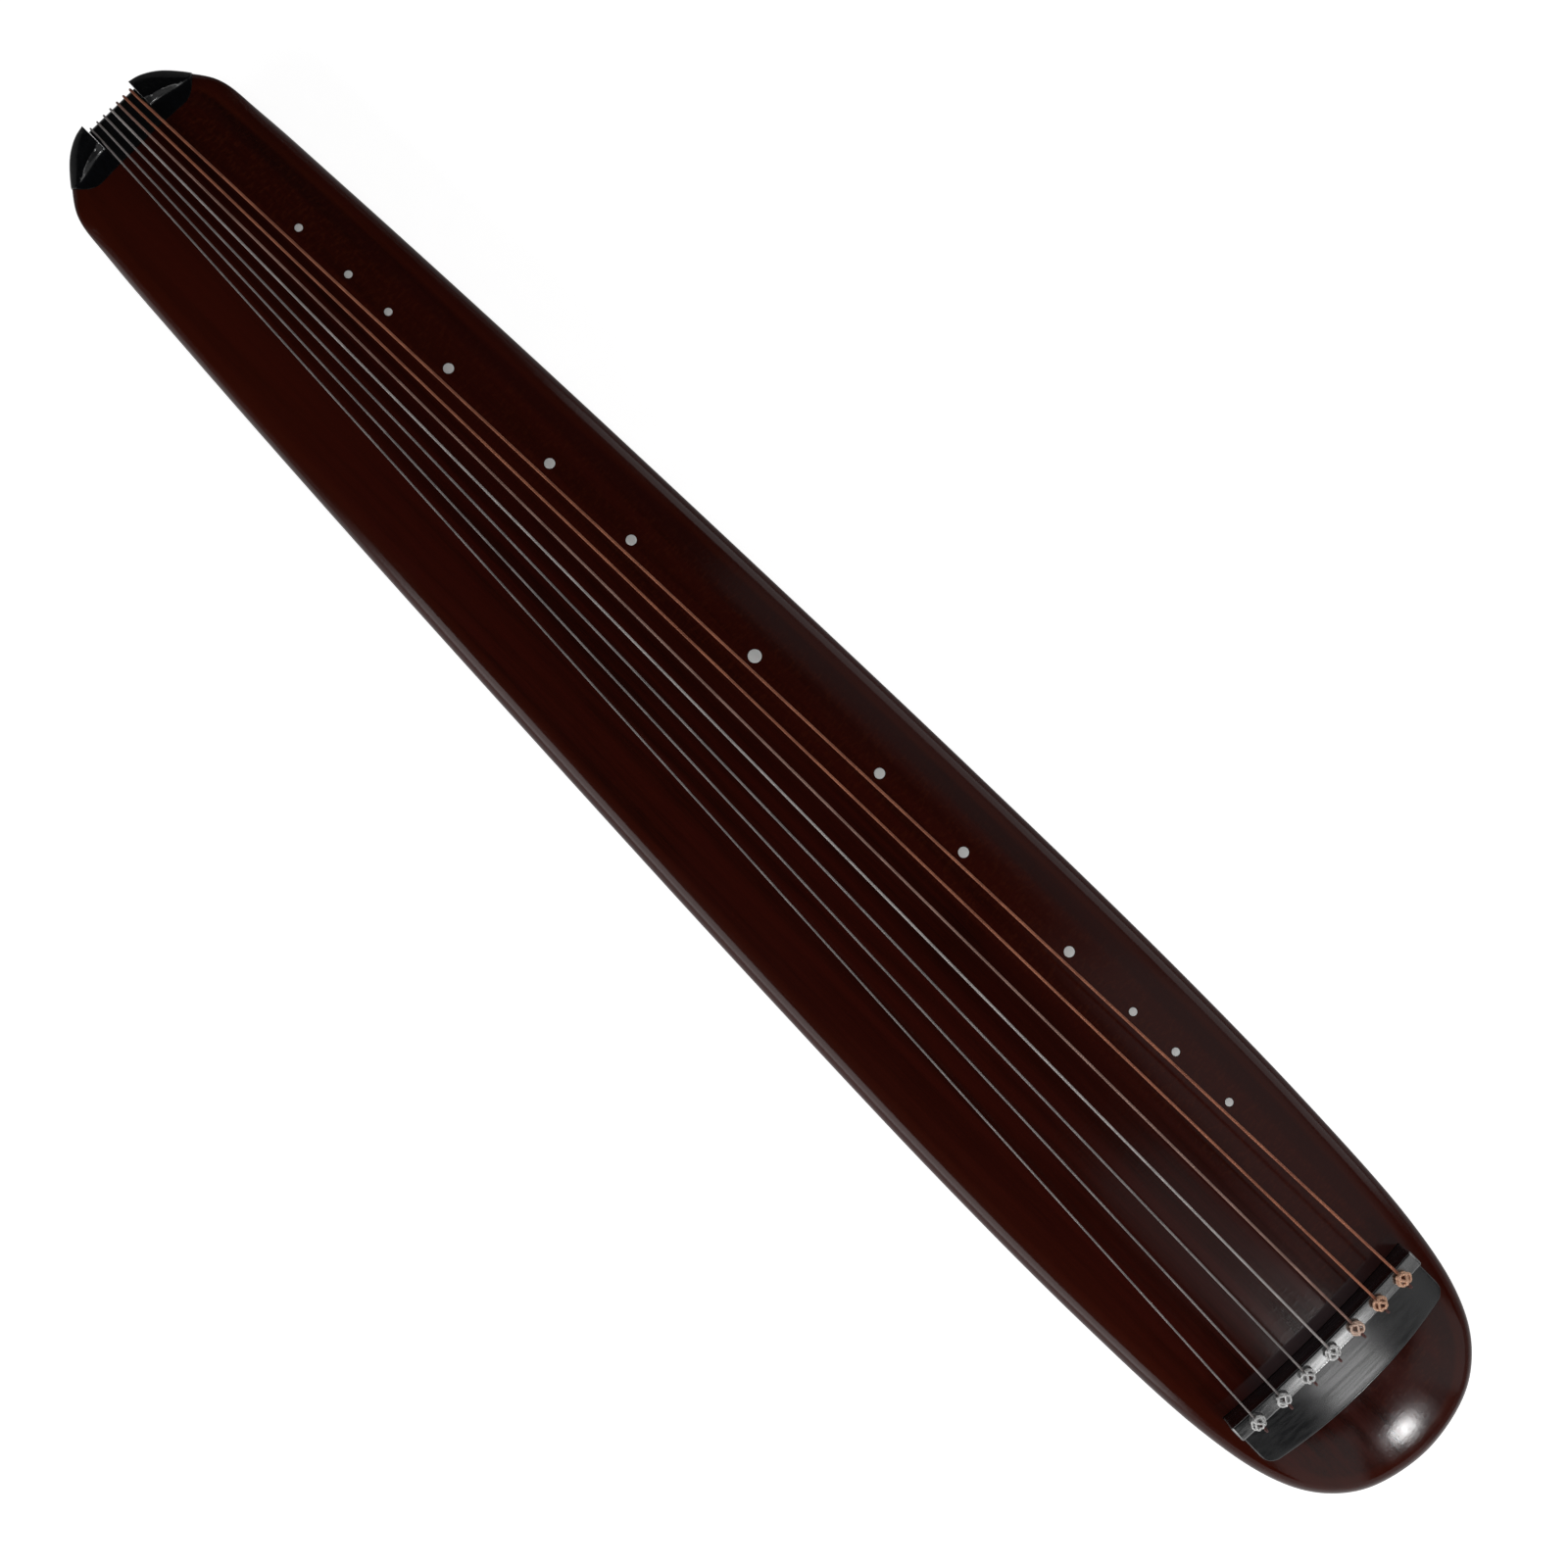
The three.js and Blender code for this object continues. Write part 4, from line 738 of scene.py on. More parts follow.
def block(name: str, low: Sequence[float], high: Sequence[float], material: Finish) -> Piece:
    """Box between two corners."""
    corners = np.array([[low[0], low[1]], [high[0], low[1]], [high[0], high[1]], [low[0], high[1]]])
    return prism(name, corners, low[2], high[2], material)


def rod(name: str, x: float, y: float, radius: float, low: float, high: float,
        material: Finish) -> Piece:
    """Upright round rod, used as a cutter."""
    return turned(name, [(radius, low), (radius, high)], (x, y), material, sides=24)


def well(name: str, box: Sequence[Vector], low: float, high: float,
         material: Finish) -> Piece:
    """Cutter of an upright well that fits round a box in plan with the usual gap."""
    a, b = box
    return block(name, (a.x - FIT_GAP, a.y - FIT_GAP, low), (b.x + FIT_GAP, b.y + FIT_GAP, high), material)


def middle(node: str) -> tuple[float, float]:
    """X and y of the middle of a node."""
    low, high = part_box(node)
    return (low.x + high.x) / 2, (low.y + high.y) / 2


def settle(target: Piece) -> None:
    """Turns what the modifiers make into the object's own mesh.

    Args:
        target: The object, whose modifiers are used up.
    """
    bpy.context.view_layer.update()
    graph = bpy.context.evaluated_depsgraph_get()
    result = bpy.data.meshes.new_from_object(target.evaluated_get(graph), preserve_all_data_layers=True,
                                             depsgraph=graph)
    target.modifiers.clear()
    target.data = result


def bevel(target: Piece, width: float, degrees: float = 35.0, segments: int = 3) -> None:
    """Rounds the sharp edges of an object.

    Args:
        target: The object.
        width: Width of the rounding.
        degrees: Angle above which an edge counts as sharp.
        segments: Steps across the rounding.
    """
    made = target.modifiers.new("bevel", "BEVEL")
    made.width, made.segments, made.angle_limit = width, segments, math.radians(degrees)
    made.limit_method = "ANGLE"
    settle(target)


def carve(target: Piece, cutters: Sequence[Piece]) -> None:
    """Cuts every cutter out of an object, with the cutter's finish on the cut faces.

    Args:
        target: The object that is cut.
        cutters: Closed objects, which are deleted afterwards.
    """
    tools = bpy.data.collections.new("cutters")
    bpy.context.scene.collection.children.link(tools)
    for cutter in cutters:
        tools.objects.link(cutter)
    made = target.modifiers.new("carve", "BOOLEAN")
    made.operation, made.solver, made.operand_type = "DIFFERENCE", "EXACT", "COLLECTION"
    made.collection, made.material_mode = tools, "TRANSFER"
    settle(target)
    for cutter in cutters:
        bpy.data.objects.remove(cutter)
    bpy.data.collections.remove(tools)


def smooth(target: Piece, degrees: float) -> None:
    """Shades an object smooth, but for edges sharper than an angle.

    Args:
        target: The object.
        degrees: Angle above which an edge stays sharp.
    """
    mesh = target.data
    mesh.polygons.foreach_set("use_smooth", [True] * len(mesh.polygons))
    mesh.set_sharp_from_angle(angle=math.radians(degrees))
    mesh.update()


def place(piece: Piece, slot: Slot, *nodes: str, body: str = INSTRUMENT,
          crease: float | None = None) -> None:
    """Attaches a finished piece to its body and hides the parts that it stands for.

    Args:
        piece: The finished object.
        slot: Not used.
        *nodes: Nodes that it stands for.
        body: Body that it moves with.
        crease: Angle in degrees above which an edge stays sharp, where the piece is shaded smooth here.
    """
    if crease is not None:
        smooth(piece, crease)
    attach(piece, body)
    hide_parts(*nodes)
    LOG.info("%s: %d faces on %s", piece.name, len(piece.data.polygons), body)


def catmull_piece(p: Sequence[np.ndarray], steps: int) -> list[np.ndarray]:
    """Steps of a centripetal Catmull-Rom curve from the second to the third of four points.

    Args:
        p: The four points.
        steps: Number of steps.

    Returns:
        The points, from the second of the four on and without the third.
    """
    gaps = [max(np.sum((p[k + 1] - p[k]) ** 2) ** 0.25, 1e-6) for k in range(3)]
    start = (p[1] - p[0]) / gaps[0] - (p[2] - p[0]) / (gaps[0] + gaps[1]) + (p[2] - p[1]) / gaps[1]
    end = (p[2] - p[1]) / gaps[1] - (p[3] - p[1]) / (gaps[1] + gaps[2]) + (p[3] - p[2]) / gaps[2]
    start, end = start * gaps[1], end * gaps[1]
    cubic = 2 * p[1] - 2 * p[2] + start + end
    square = 3 * p[2] - 3 * p[1] - 2 * start - end
    return [p[1] + start * t + square * t ** 2 + cubic * t ** 3 for t in np.arange(steps) / steps]


def catmull_loop(points: np.ndarray, steps: int) -> np.ndarray:
    """Closed curve through points, with a number of steps for each, starting at the first."""
    n = len(points)
    return np.concatenate([catmull_piece([points[(i + k) % n] for k in (-1, 0, 1, 2)], steps) for i in range(n)])


def smooth_route(points: Sequence[Sequence[float]], spacing: float) -> np.ndarray:
    """Open curve through points, with a step of about one spacing.

    Args:
        points: The points that it passes.
        spacing: Distance between two steps.

    Returns:
        The points of the curve, with both ends.
    """
    p = np.array(points, float)
    p = np.vstack([2 * p[0] - p[1], p, 2 * p[-1] - p[-2]])
    made = []
    for i in range(1, len(p) - 2):
        steps = max(int(np.linalg.norm(p[i + 1] - p[i]) / spacing), 1)
        made += catmull_piece(p[i - 1:i + 3], steps)
    return np.array([*made, p[-2]])


@dataclass(frozen=True)
class BodyShape:
    """Surface of the body: a leaf-shaped plan, an arch, and a rolled shoulder."""

    length: float
    width: float
    stand: float
    depth: float = 0.052
    arch_drop: float = 0.012
    arch_power: float = 2.2
    shoulder_width: float = 0.009
    shoulder_drop: float = 0.008
    spine_head_share: float = 0.0722
    spine_tail_share: float = 0.9700
    level_start_share: float = 0.940
    level_end_share: float = 0.975
    level_fall_share: float = 0.35
    steps: int = 8
    outline_shares: tuple[Row, ...] = (
        (0, 0), (0.0042, 0.325), (0.0122, 0.526), (0.0270, 0.705), (0.0489, 0.832), (0.0885, 0.928),
        (0.1696, 0.986), (0.2711, 1), (0.4131, 0.968), (0.5828, 0.902), (0.7541, 0.821), (0.8839, 0.741),
        (0.9489, 0.689), (0.9684, 0.647), (0.9838, 0.530), (0.9947, 0.403), (0.9992, 0.291), (1, 0.194), (1, 0),
    )
    crown_shares: tuple[Row, ...] = (
        (0, 0.980), (0.0885, 0.990), (0.17, 1.010), (0.29, 1.020), (0.539, 1.0),
        (0.738, 0.970), (0.9, 0.935), (0.97, 0.912), (1, 0.904),
    )

    @property
    def head_x(self) -> float:
        """X of the head's tip."""
        return self.length / 2

    def crown(self, x: np.ndarray | float) -> np.ndarray:
        """Height of the arch's ridge at x, through the table of shares.

        Args:
            x: X of one or more places.

        Returns:
            The height at each of them.
        """
        rows = np.array(self.crown_shares)
        before, after = np.maximum(np.arange(len(rows)) - 1, 0), np.minimum(np.arange(len(rows)) + 1, len(rows) - 1)
        slope = (rows[after, 1] - rows[before, 1]) / (rows[after, 0] - rows[before, 0])
        share = (self.head_x - np.asarray(x, float)) / self.length
        i = np.clip(np.searchsorted(rows[:, 0], share, side="left") - 1, 0, len(rows) - 2)
        span = rows[i + 1, 0] - rows[i, 0]
        t = np.clip((share - rows[i, 0]) / span, 0, 1)
        height = ((2 * t ** 3 - 3 * t ** 2 + 1) * rows[i, 1] + (t ** 3 - 2 * t ** 2 + t) * span * slope[i]
                  + (3 * t ** 2 - 2 * t ** 3) * rows[i + 1, 1] + (t ** 3 - t ** 2) * span * slope[i + 1])
        return self.stand + self.depth * height

    @cached_property
    def outline(self) -> np.ndarray:
        """Closed plan, head tip first, with point i facing point (count - i)."""
        side = np.array([(self.head_x - a * self.length, b * self.width / 2) for a, b in self.outline_shares])
        return catmull_loop(np.concatenate([side, side[1:-1][::-1] * (1, -1)]), self.steps)

    def spine(self, x: np.ndarray | float) -> np.ndarray:
        """X of the spine's point that a place at x looks at."""
        low, high = (self.head_x - self.length * share for share in (self.spine_tail_share, self.spine_head_share))
        return np.clip(x, low, high)

    def fall(self, inset: np.ndarray) -> np.ndarray:
        """Fall of the rolled shoulder at an inset from the widest line."""
        t = 1 - np.minimum(inset / self.shoulder_width, 1)
        return self.shoulder_drop * (1 - np.sqrt(1 - t ** 2))

    def fall_share(self, x: np.ndarray, y: np.ndarray, spine_x: np.ndarray) -> np.ndarray:
        """Share of its fall that the top keeps: less at the tail, none straight behind the spine.

        Args:
            x: X of each place.
            y: Y of each place.
            spine_x: X of the spine's point that each place looks at.

        Returns:
            The shares.
        """
        along = (self.head_x - x) / self.length
        t = np.clip((along - self.level_start_share) / (self.level_end_share - self.level_start_share), 0, 1)
        away = np.maximum(np.hypot(x - spine_x, y), 1e-9)
        behind = x < self.head_x - self.length * self.spine_tail_share
        sideways = np.where(behind, np.abs(y) / away, 1.0)
        return (1 - (1 - self.level_fall_share) * t * t * (3 - 2 * t)) * sideways

    def arch(self, place: np.ndarray, spine_x: np.ndarray, inset: np.ndarray, length: np.ndarray) -> np.ndarray:
        """Height of the top at a place with an inset on its line from the outline to the spine.

        Args:
            place: X and y of each place.
            spine_x: X of the spine's point that each place looks at.
            inset: Distance of each place from the outline.
            length: Length of its line from the outline to the spine.

        Returns:
            The heights.
        """
        x, y = place[..., 0], place[..., 1]
        drop = self.arch_drop * np.maximum(1 - inset / length, 0) ** self.arch_power + self.fall(inset)
        return self.crown(np.minimum(x, spine_x)) - drop * self.fall_share(x, y, spine_x)

    def reach(self, start: np.ndarray, direction: np.ndarray) -> float:
        """Distance from a point inside the plan to the outline.

        Args:
            start: The point inside.
            direction: Way to the outline, of length 1.

        Returns:
            The distance.
        """
        edge = np.roll(self.outline, -1, axis=0) - self.outline
        offset = self.outline - start
        cross = direction[0] * edge[:, 1] - direction[1] * edge[:, 0]
        cross = np.where(cross == 0, 1e-12, cross)
        along = (offset[:, 0] * edge[:, 1] - offset[:, 1] * edge[:, 0]) / cross
        across = (offset[:, 0] * direction[1] - offset[:, 1] * direction[0]) / cross
        slack = 1e-6
        return float(np.min(along[(along > 0) & (across >= -slack) & (across <= 1 + slack)]))

    def half_width(self, x: float) -> float:
        """Half width of the plan at x."""
        return self.reach(np.array([x, 0.0]), np.array([0.0, 1.0]))

    def height(self, x: float, y: float) -> float:
        """Height of the finished top over a point of the plan.

        Args:
            x: X of the place.
            y: Y of the place.

        Returns:
            The height.
        """
        spine = np.array([float(self.spine(x)), 0.0])
        away = np.array([x, y]) - spine
        distance = float(np.linalg.norm(away))
        if distance == 0:
            return float(self.crown(x))
        length = self.reach(spine, away / distance)
        return float(self.arch(np.array([x, y]), spine[0], np.array(max(length - distance, 0.0)), np.array(length)))

    def normal(self, x: float, y: float, step: float = 0.004) -> Vector:
        """Direction straight out of the top over a point of the plan.

        Args:
            x: X of the place.
            y: Y of the place.
            step: Distance over which the slope is taken.

        Returns:
            The direction, of length 1.
        """
        slope_x = (self.height(x + step, y) - self.height(x - step, y)) / (2 * step)
        slope_y = (self.height(x, y + step) - self.height(x, y - step)) / (2 * step)
        return Vector((-slope_x, -slope_y, 1)).normalized()


@dataclass
class Boards:
    """The arched soundboard and the flat bottom board, hollowed and cut for what they hold."""

    shape: BodyShape
    finishes: Finishes
    seam_inset: float = 0.0008
    edge_round: float = 0.004
    wall_rings: int = 6
    edge_rings: int = 7
    shoulder_rings: int = 9
    arch_rings: int = 16
    arch_end_share: float = 0.985
    side_wall: float = 0.018
    board_thickness: float = 0.010
    chamber_head_setback: float = 0.045
    chamber_nut_setback: float = 0.065
    chamber_stations: int = 28
    ceiling_points: int = 19
    island_margin: float = 0.008
    island_depth: float = 0.005
    rim_corner: float = 0.005
    notch_depth: float = 0.0015

    def _plan_map(self, board: Piece) -> None:
        """Stores the share of the way to the edge, and the inset from it, as a UV map.

        Args:
            board: Board that gets the map.
        """
        mesh = board.data
        on_spine, spine_inset = 1e-6, 0.1
        values = np.zeros((len(mesh.vertices), 2))
        for i, (x, y, _) in enumerate(np.array([v.co for v in mesh.vertices])):
            spine = np.array([float(self.shape.spine(x)), 0.0])
            away = np.array([x, y]) - spine
            distance = float(np.linalg.norm(away))
            if distance < on_spine:
                values[i] = (0, spine_inset)
                continue
            length = self.shape.reach(spine, away / distance)
            side = 1 if y >= 0 else -1
            values[i] = (side * min(distance / length, 1), max(length - distance, 0))
        layer = mesh.uv_layers.new(name="plan")
        corners = np.array([loop.vertex_index for loop in mesh.loops])
        layer.data.foreach_set("uv", values[corners].ravel())

    def _ring(self, inset: float | Callable, height: float | Callable) -> np.ndarray:
        """Outline moved in towards the spine.

        Args:
            inset: How far it moves, or a function of each point's distance from the spine.
            height: Its height, or a function of the moved points, the x of the spine's points that they look
                at, how far they moved, and their distance from the spine before.

        Returns:
            The points of the ring.
        """
        outline = self.shape.outline
        spine_x = self.shape.spine(outline[:, 0])
        spine = np.column_stack([spine_x, np.zeros(len(outline))])
        length = np.linalg.norm(outline - spine, axis=1)
        move = np.minimum(inset(length) if callable(inset) else inset, length)
        moved = outline + (spine - outline) * (move / length)[:, None]
        heights = height(moved, spine_x, move, length) if callable(height) else np.full(len(moved), height)
        return np.column_stack([moved, heights])

    def _board(self, name: str, rings: list[np.ndarray]) -> Piece:
        """Closed solid through rings, capped by ladders across the spine, with its plan map.

        Args:
            name: Name of the object.
            rings: Rings of equal count, from one cap to the other.

        Returns:
            The board.
        """
        count = len(rings[0])
        faces = ring_faces(len(rings), count)
        for base in (0, (len(rings) - 1) * count):
            for i in range(count // 2):
                corners = dict.fromkeys([i, i + 1, count - i - 1, (count - i) % count])
                faces.append(tuple(base + c for c in corners))
        board = solid(name, np.concatenate(rings), faces, self.finishes.lacquer)
        self._plan_map(board)
        return board

    def _ceiling(self, x: float, y: float) -> float:
        """Height of the chamber's ceiling."""
        share = abs(y) / self.shape.half_width(x)
        return float(self.shape.crown(x)) - self.board_thickness - self.shape.arch_drop * share ** self.shape.arch_power

    def _chamber(self, seam: float) -> Piece:
        """Cutter of the sound chamber, with an island left over each sound hole.

        Args:
            seam: Height of the joint between the two boards.

        Returns:
            The cutter.
        """
        tail_x = Tail.crest_x() + self.chamber_nut_setback
        head_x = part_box("bridge")[0].x - self.chamber_head_setback
        floor = seam - OVERRUN
        sections = []
        for x in np.linspace(tail_x, head_x, self.chamber_stations):
            half = self.shape.half_width(x) - self.side_wall
            ceiling = [(x, y, self._ceiling(x, y)) for y in np.linspace(half, -half, self.ceiling_points)]
            sections.append(np.array([(x, -half, floor), (x, half, floor), *ceiling]))
        chamber = loft("chamber", sections, self.finishes.bare)
        islands = []
        for rim in SOUND_HOLE_RIMS:
            low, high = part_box(rim)
            x = (low.x + high.x) / 2
            long_margin, side_margin = self.island_margin, self.island_margin / 2
            near = (low.x - long_margin, low.y - side_margin, self._ceiling(x, 0) - self.island_depth)
            far = (high.x + long_margin, high.y + side_margin, float(self.shape.crown(x)))
            islands.append(block("island", near, far, self.finishes.bare))
        carve(chamber, islands)
        return chamber

    def _tail_cuts(self) -> list[Piece]:
        """Cutters of the notch at the tail and of the pocket of the lower nut.

        Returns:
            The two cutters.
        """
        low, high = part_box("tail_support")
        half = high.y + FIT_GAP
        corner = (-self.shape.head_x - OVERRUN, -half, self.shape.stand - OVERRUN)
        notch = (low.x + self.notch_depth, half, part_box("bridge")[1].z)
        pocket = (high.x + FIT_GAP, half, high.z + FIT_GAP)
        return [block(name, corner, far, self.finishes.black) for name, far in (("notch", notch), ("pocket", pocket))]

    def _cord_holes(self, low: float) -> list[Piece]:
        """Cutters of the holes that the cords go down.

        Args:
            low: Height where the holes start.

        Returns:
            One cutter for each string.
        """
        made = []
        for number in STRING_NUMBERS:
            a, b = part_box(f"peg_cord_{number}")
            x, y = b.x - (b.y - a.y) / 2, (a.y + b.y) / 2
            made.append(rod("cord_hole", x, y, CORD_HOLE_RADIUS, low, b.z, self.finishes.bare))
        return made

    def soundboard(self, tail: "Tail", head: "Head") -> None:
        """Builds the arched top board.

        Args:
            tail: Tail whose seat is cut out.
            head: Head whose seat is cut out.
        """
        shape, seam = self.shape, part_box("soundboard")[0].z

        def wall(t: float) -> Callable:
            """Height of the side wall's ring at a share of the way down from the shoulder."""
            return lambda p, spine_x, _, length: seam * t + (1 - t) * shape.arch(p, spine_x, length * 0, length)

        def inward(share: float) -> Callable:
            """Inset of a ring at a share of the way from the shoulder to the spine."""
            return lambda length: shape.shoulder_width + (length - shape.shoulder_width) * share

        rings = [self._ring(self.seam_inset * t ** 2, wall(t)) for t in np.linspace(1, 0, self.wall_rings)]
        rings += [self._ring(shape.shoulder_width * (1 - math.cos(turn)), shape.arch)
                  for turn in np.linspace(0, math.pi / 2, self.shoulder_rings)[1:]]
        rings += [self._ring(inward(share), shape.arch)
                  for share in np.linspace(0, self.arch_end_share, self.arch_rings)[1:]]
        board = self._board("soundboard_lacquered", rings)
        pool_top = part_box("peg_plate")[1].z + FIT_GAP
        cord_holes = self._cord_holes(seam)
        studs = [Studs.pocket(shape, number, self.finishes.black) for number in STUD_NUMBERS]
        pool = well("pool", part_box("peg_plate"), seam - OVERRUN, pool_top, self.finishes.bare)
        carve(board, [self._chamber(seam), pool, head.rebate(), tail.rebate(), *self._tail_cuts(), *cord_holes, *studs])
        place(board, Slot.LACQUER, "soundboard", crease=BOARD_CREASE)

    def bottom_board(self) -> None:
        """Builds the flat lower board with its rounded lower edge."""
        stand, top = self.shape.stand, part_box("bottom_board")[1].z
        rings = [self._ring(self.seam_inset + self.edge_round * (1 - math.cos(turn)),
                            stand + self.edge_round * (1 - math.sin(turn)))
                 for turn in np.linspace(math.pi / 2, 0, self.edge_rings)]
        rings.append(self._ring(self.seam_inset, top))
        board = self._board("bottom_board_lacquered", rings)
        low, high, bare = stand - OVERRUN, top + OVERRUN, self.finishes.bare
        cutters = [well("pool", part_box("peg_plate"), low, high, bare), *self._tail_cuts()]
        for rim in SOUND_HOLE_RIMS:
            a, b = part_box(rim)
            outline = rounded_rectangle(a.x - FIT_GAP, b.x + FIT_GAP, a.y - FIT_GAP, b.y + FIT_GAP, self.rim_corner)
            cutters.append(prism("sound_hole", outline, low, high, bare))
        cutters += [well("tenon_hole", Stand.tenon(side), low, high, bare) for side in Side]
        carve(board, cutters)
        place(board, Slot.LACQUER, "bottom_board", crease=BOARD_CREASE)


def rounded_rectangle(low_x: float, high_x: float, low_y: float, high_y: float, corner: float,
                      steps: int = 8) -> np.ndarray:
    """Outline of a rectangle with round corners, turning left.

    Args:
        low_x: Lowest x.
        high_x: Highest x.
        low_y: Lowest y.
        high_y: Highest y.
        corner: Radius of the corners.
        steps: Steps round each corner.

    Returns:
        X and y of each point.
    """
    points = []
    for x, y, start in ((high_x, high_y, 0), (low_x, high_y, 1), (low_x, low_y, 2), (high_x, low_y, 3)):
        cx = x - corner if x == high_x else x + corner
        cy = y - corner if y == high_y else y + corner
        for angle in (start + np.linspace(0, 1, steps + 1)) * math.pi / 2:
            points.append((cx + corner * math.cos(angle), cy + corner * math.sin(angle)))
    return np.array(points)


@dataclass
class Head:
    """Bridge, the plate behind it, and the plate in the peg pool."""

    shape: BodyShape
    finishes: Finishes
    bridge_arch: float = 0.005
    crest_round: float = 0.0012
    crest_fall: float = 0.00026
    plate_bow: float = 0.004
    plate_rise: float = 0.0035
    plate_edge: float = 0.0009
    plate_bevel: float = 0.0030
    plate_bevel_fall: float = 0.0001
    plate_corner: float = 0.008
    plate_points: int = 12
    plate_stations: int = 24
    corner_stations: int = 14
    end_ease: float = 0.0012
    least_depth: float = 0.004
    peg_plate_ease: float = 0.0005
    crest_points: int = 7
    stations: int = 60

    def __post_init__(self) -> None:
        """Reads the places of the bridge and the plate from the frame."""
        self.bridge_low, self.bridge_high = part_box("bridge")
        self.plate_low, self.plate_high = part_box("bridge_plate")
        self.half = self.bridge_high.y

    def bridge_top(self, y: float) -> float:
        """Height of the bridge's crest at y."""
        return self.bridge_high.z - self.bridge_arch * (y / self.half) ** 2

    def build_bridge(self) -> None:
        """Builds the bridge with a rounded crest and eased ends."""
        low, high, radius, ease = self.bridge_low, self.bridge_high, self.crest_round, self.end_ease
        sections = []
        for y in self.half * np.sin(np.linspace(-1, 1, self.stations) * math.pi / 2):
            draw = ease * max(0.0, (abs(y) - (self.half - ease)) / ease) ** 2
            top, tail_x, head_x = self.bridge_top(y) - draw, low.x + draw / 3, high.x - draw / 3
            section = [(tail_x, y, low.z), (head_x, y, low.z)]
            edges = ((head_x - radius, 0.0, self.crest_fall), (tail_x + radius, math.pi / 2, 0.0))
            for centre_x, start, fall in edges:
                for angle in start + np.linspace(0, math.pi / 2, self.crest_points):
                    section.append((centre_x + radius * math.cos(angle), y,
                                    top - fall - radius + radius * math.sin(angle)))
            sections.append(np.array(section))
        bridge = loft("bridge_polished", sections, self.finishes.black_crest)
        place(bridge, Slot.BLACK_WOOD, "bridge", crease=CUT_CREASE)

    def plate_head_x(self, y: float) -> float:
        """X of the plate's bowed head edge at y, with its round corners.

        Args:
            y: Y of the place.

        Returns:
            X of the edge.
        """
        past = max(abs(y) - (self.half - self.plate_corner), 0)
        corner = self.plate_corner - math.sqrt(max(self.plate_corner ** 2 - past ** 2, 0))
        bowed = self.plate_high.x - self.plate_bow * (y / self.half) ** 2 - corner
        return max(bowed, self.plate_low.x + self.least_depth)

    def plate_top(self, x: float, y: float) -> float:
        """Height of the plate, which stays level along the middle while the board falls away."""
        level = self.shape.height(self.plate_low.x, 0.0) - self.shape.height(x, 0.0)
        return self.shape.height(x, y) + self.plate_rise + level

    def _plate_ys(self) -> np.ndarray:
        """Stations across the plate, closer together round its corners.

        Returns:
            The y values, from one end to the other.
        """
        straight = np.linspace(0, self.half - self.plate_corner, self.plate_stations)
        turns = np.linspace(0, math.pi / 2, self.corner_stations)[1:]
        arc = self.half - self.plate_corner * (1 - np.sin(turns))
        side = np.concatenate([straight, arc])
        return np.concatenate([-side[::-1], side[1:]])

    def build_plate(self) -> None:
        """Builds the plate behind the bridge, with its cord holes."""
        low, tail_x, edge, slope = self.plate_low, self.plate_low.x, self.plate_edge, self.plate_bevel
        sections = []
        for y in self._plate_ys():
            ease = edge * max(0.0, (abs(y) - (self.half - edge)) / edge) ** 2
            head_x = self.plate_head_x(y)
            bevel_x = head_x - edge - slope
            top = [(x, y, self.plate_top(x, y) - ease) for x in np.linspace(tail_x, bevel_x, self.plate_points)]
            top += [(x, y, top[-1][2] - self.plate_bevel_fall * (x - bevel_x) / slope)
                    for x in np.linspace(bevel_x, bevel_x + slope, 4)[1:]]
            x, _, z = top[-1]
            roll = [(x + edge * math.sin(a), y, z - edge * (1 - math.cos(a)))
                    for a in np.linspace(0, math.pi / 2, 6)[1:]]
            sections.append(np.array([(tail_x, y, low.z), *top, *roll, (head_x, y, low.z)]))
        plate = loft("bridge_plate_polished", sections, self.finishes.black_across)
        carve(plate, self._hole_cutters(low.z - OVERRUN, self.bridge_high.z))
        place(plate, Slot.BLACK_WOOD, "bridge_plate", crease=CUT_CREASE)

    def _hole_cutters(self, low: float, high: float) -> list[Piece]:
        """Cutters of the seven cord holes."""
        return [rod("hole", *middle(f"peg_{number}"), CORD_HOLE_RADIUS, low, high, self.finishes.black)
                for number in STRING_NUMBERS]

    def rebate(self) -> Piece:
        """Cutter of the seat of the bridge and the plate.

        Returns:
            The cutter.
        """
        half, front = self.half + FIT_GAP, self.bridge_low.x - FIT_GAP
        edge = [(self.plate_head_x(y) + FIT_GAP, y * half / self.half) for y in self._plate_ys()]
        outline = np.array([(front, -half), *edge, (front, half)])
        return prism("rebate", outline, self.bridge_low.z - FIT_GAP, self.bridge_high.z, self.finishes.black)

    def build_peg_plate(self) -> None:
        """Builds the hard plate at the ceiling of the peg pool."""
        low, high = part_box("peg_plate")
        plate = block("peg_plate_polished", low, high, self.finishes.black)
        bevel(plate, self.peg_plate_ease)
        carve(plate, self._hole_cutters(low.z - OVERRUN, high.z + OVERRUN))
        place(plate, Slot.BLACK_WOOD, "peg_plate", crease=CUT_CREASE)

    def build(self) -> None:
        """Builds the three pieces."""
        self.build_bridge()
        self.build_plate()
        self.build_peg_plate()


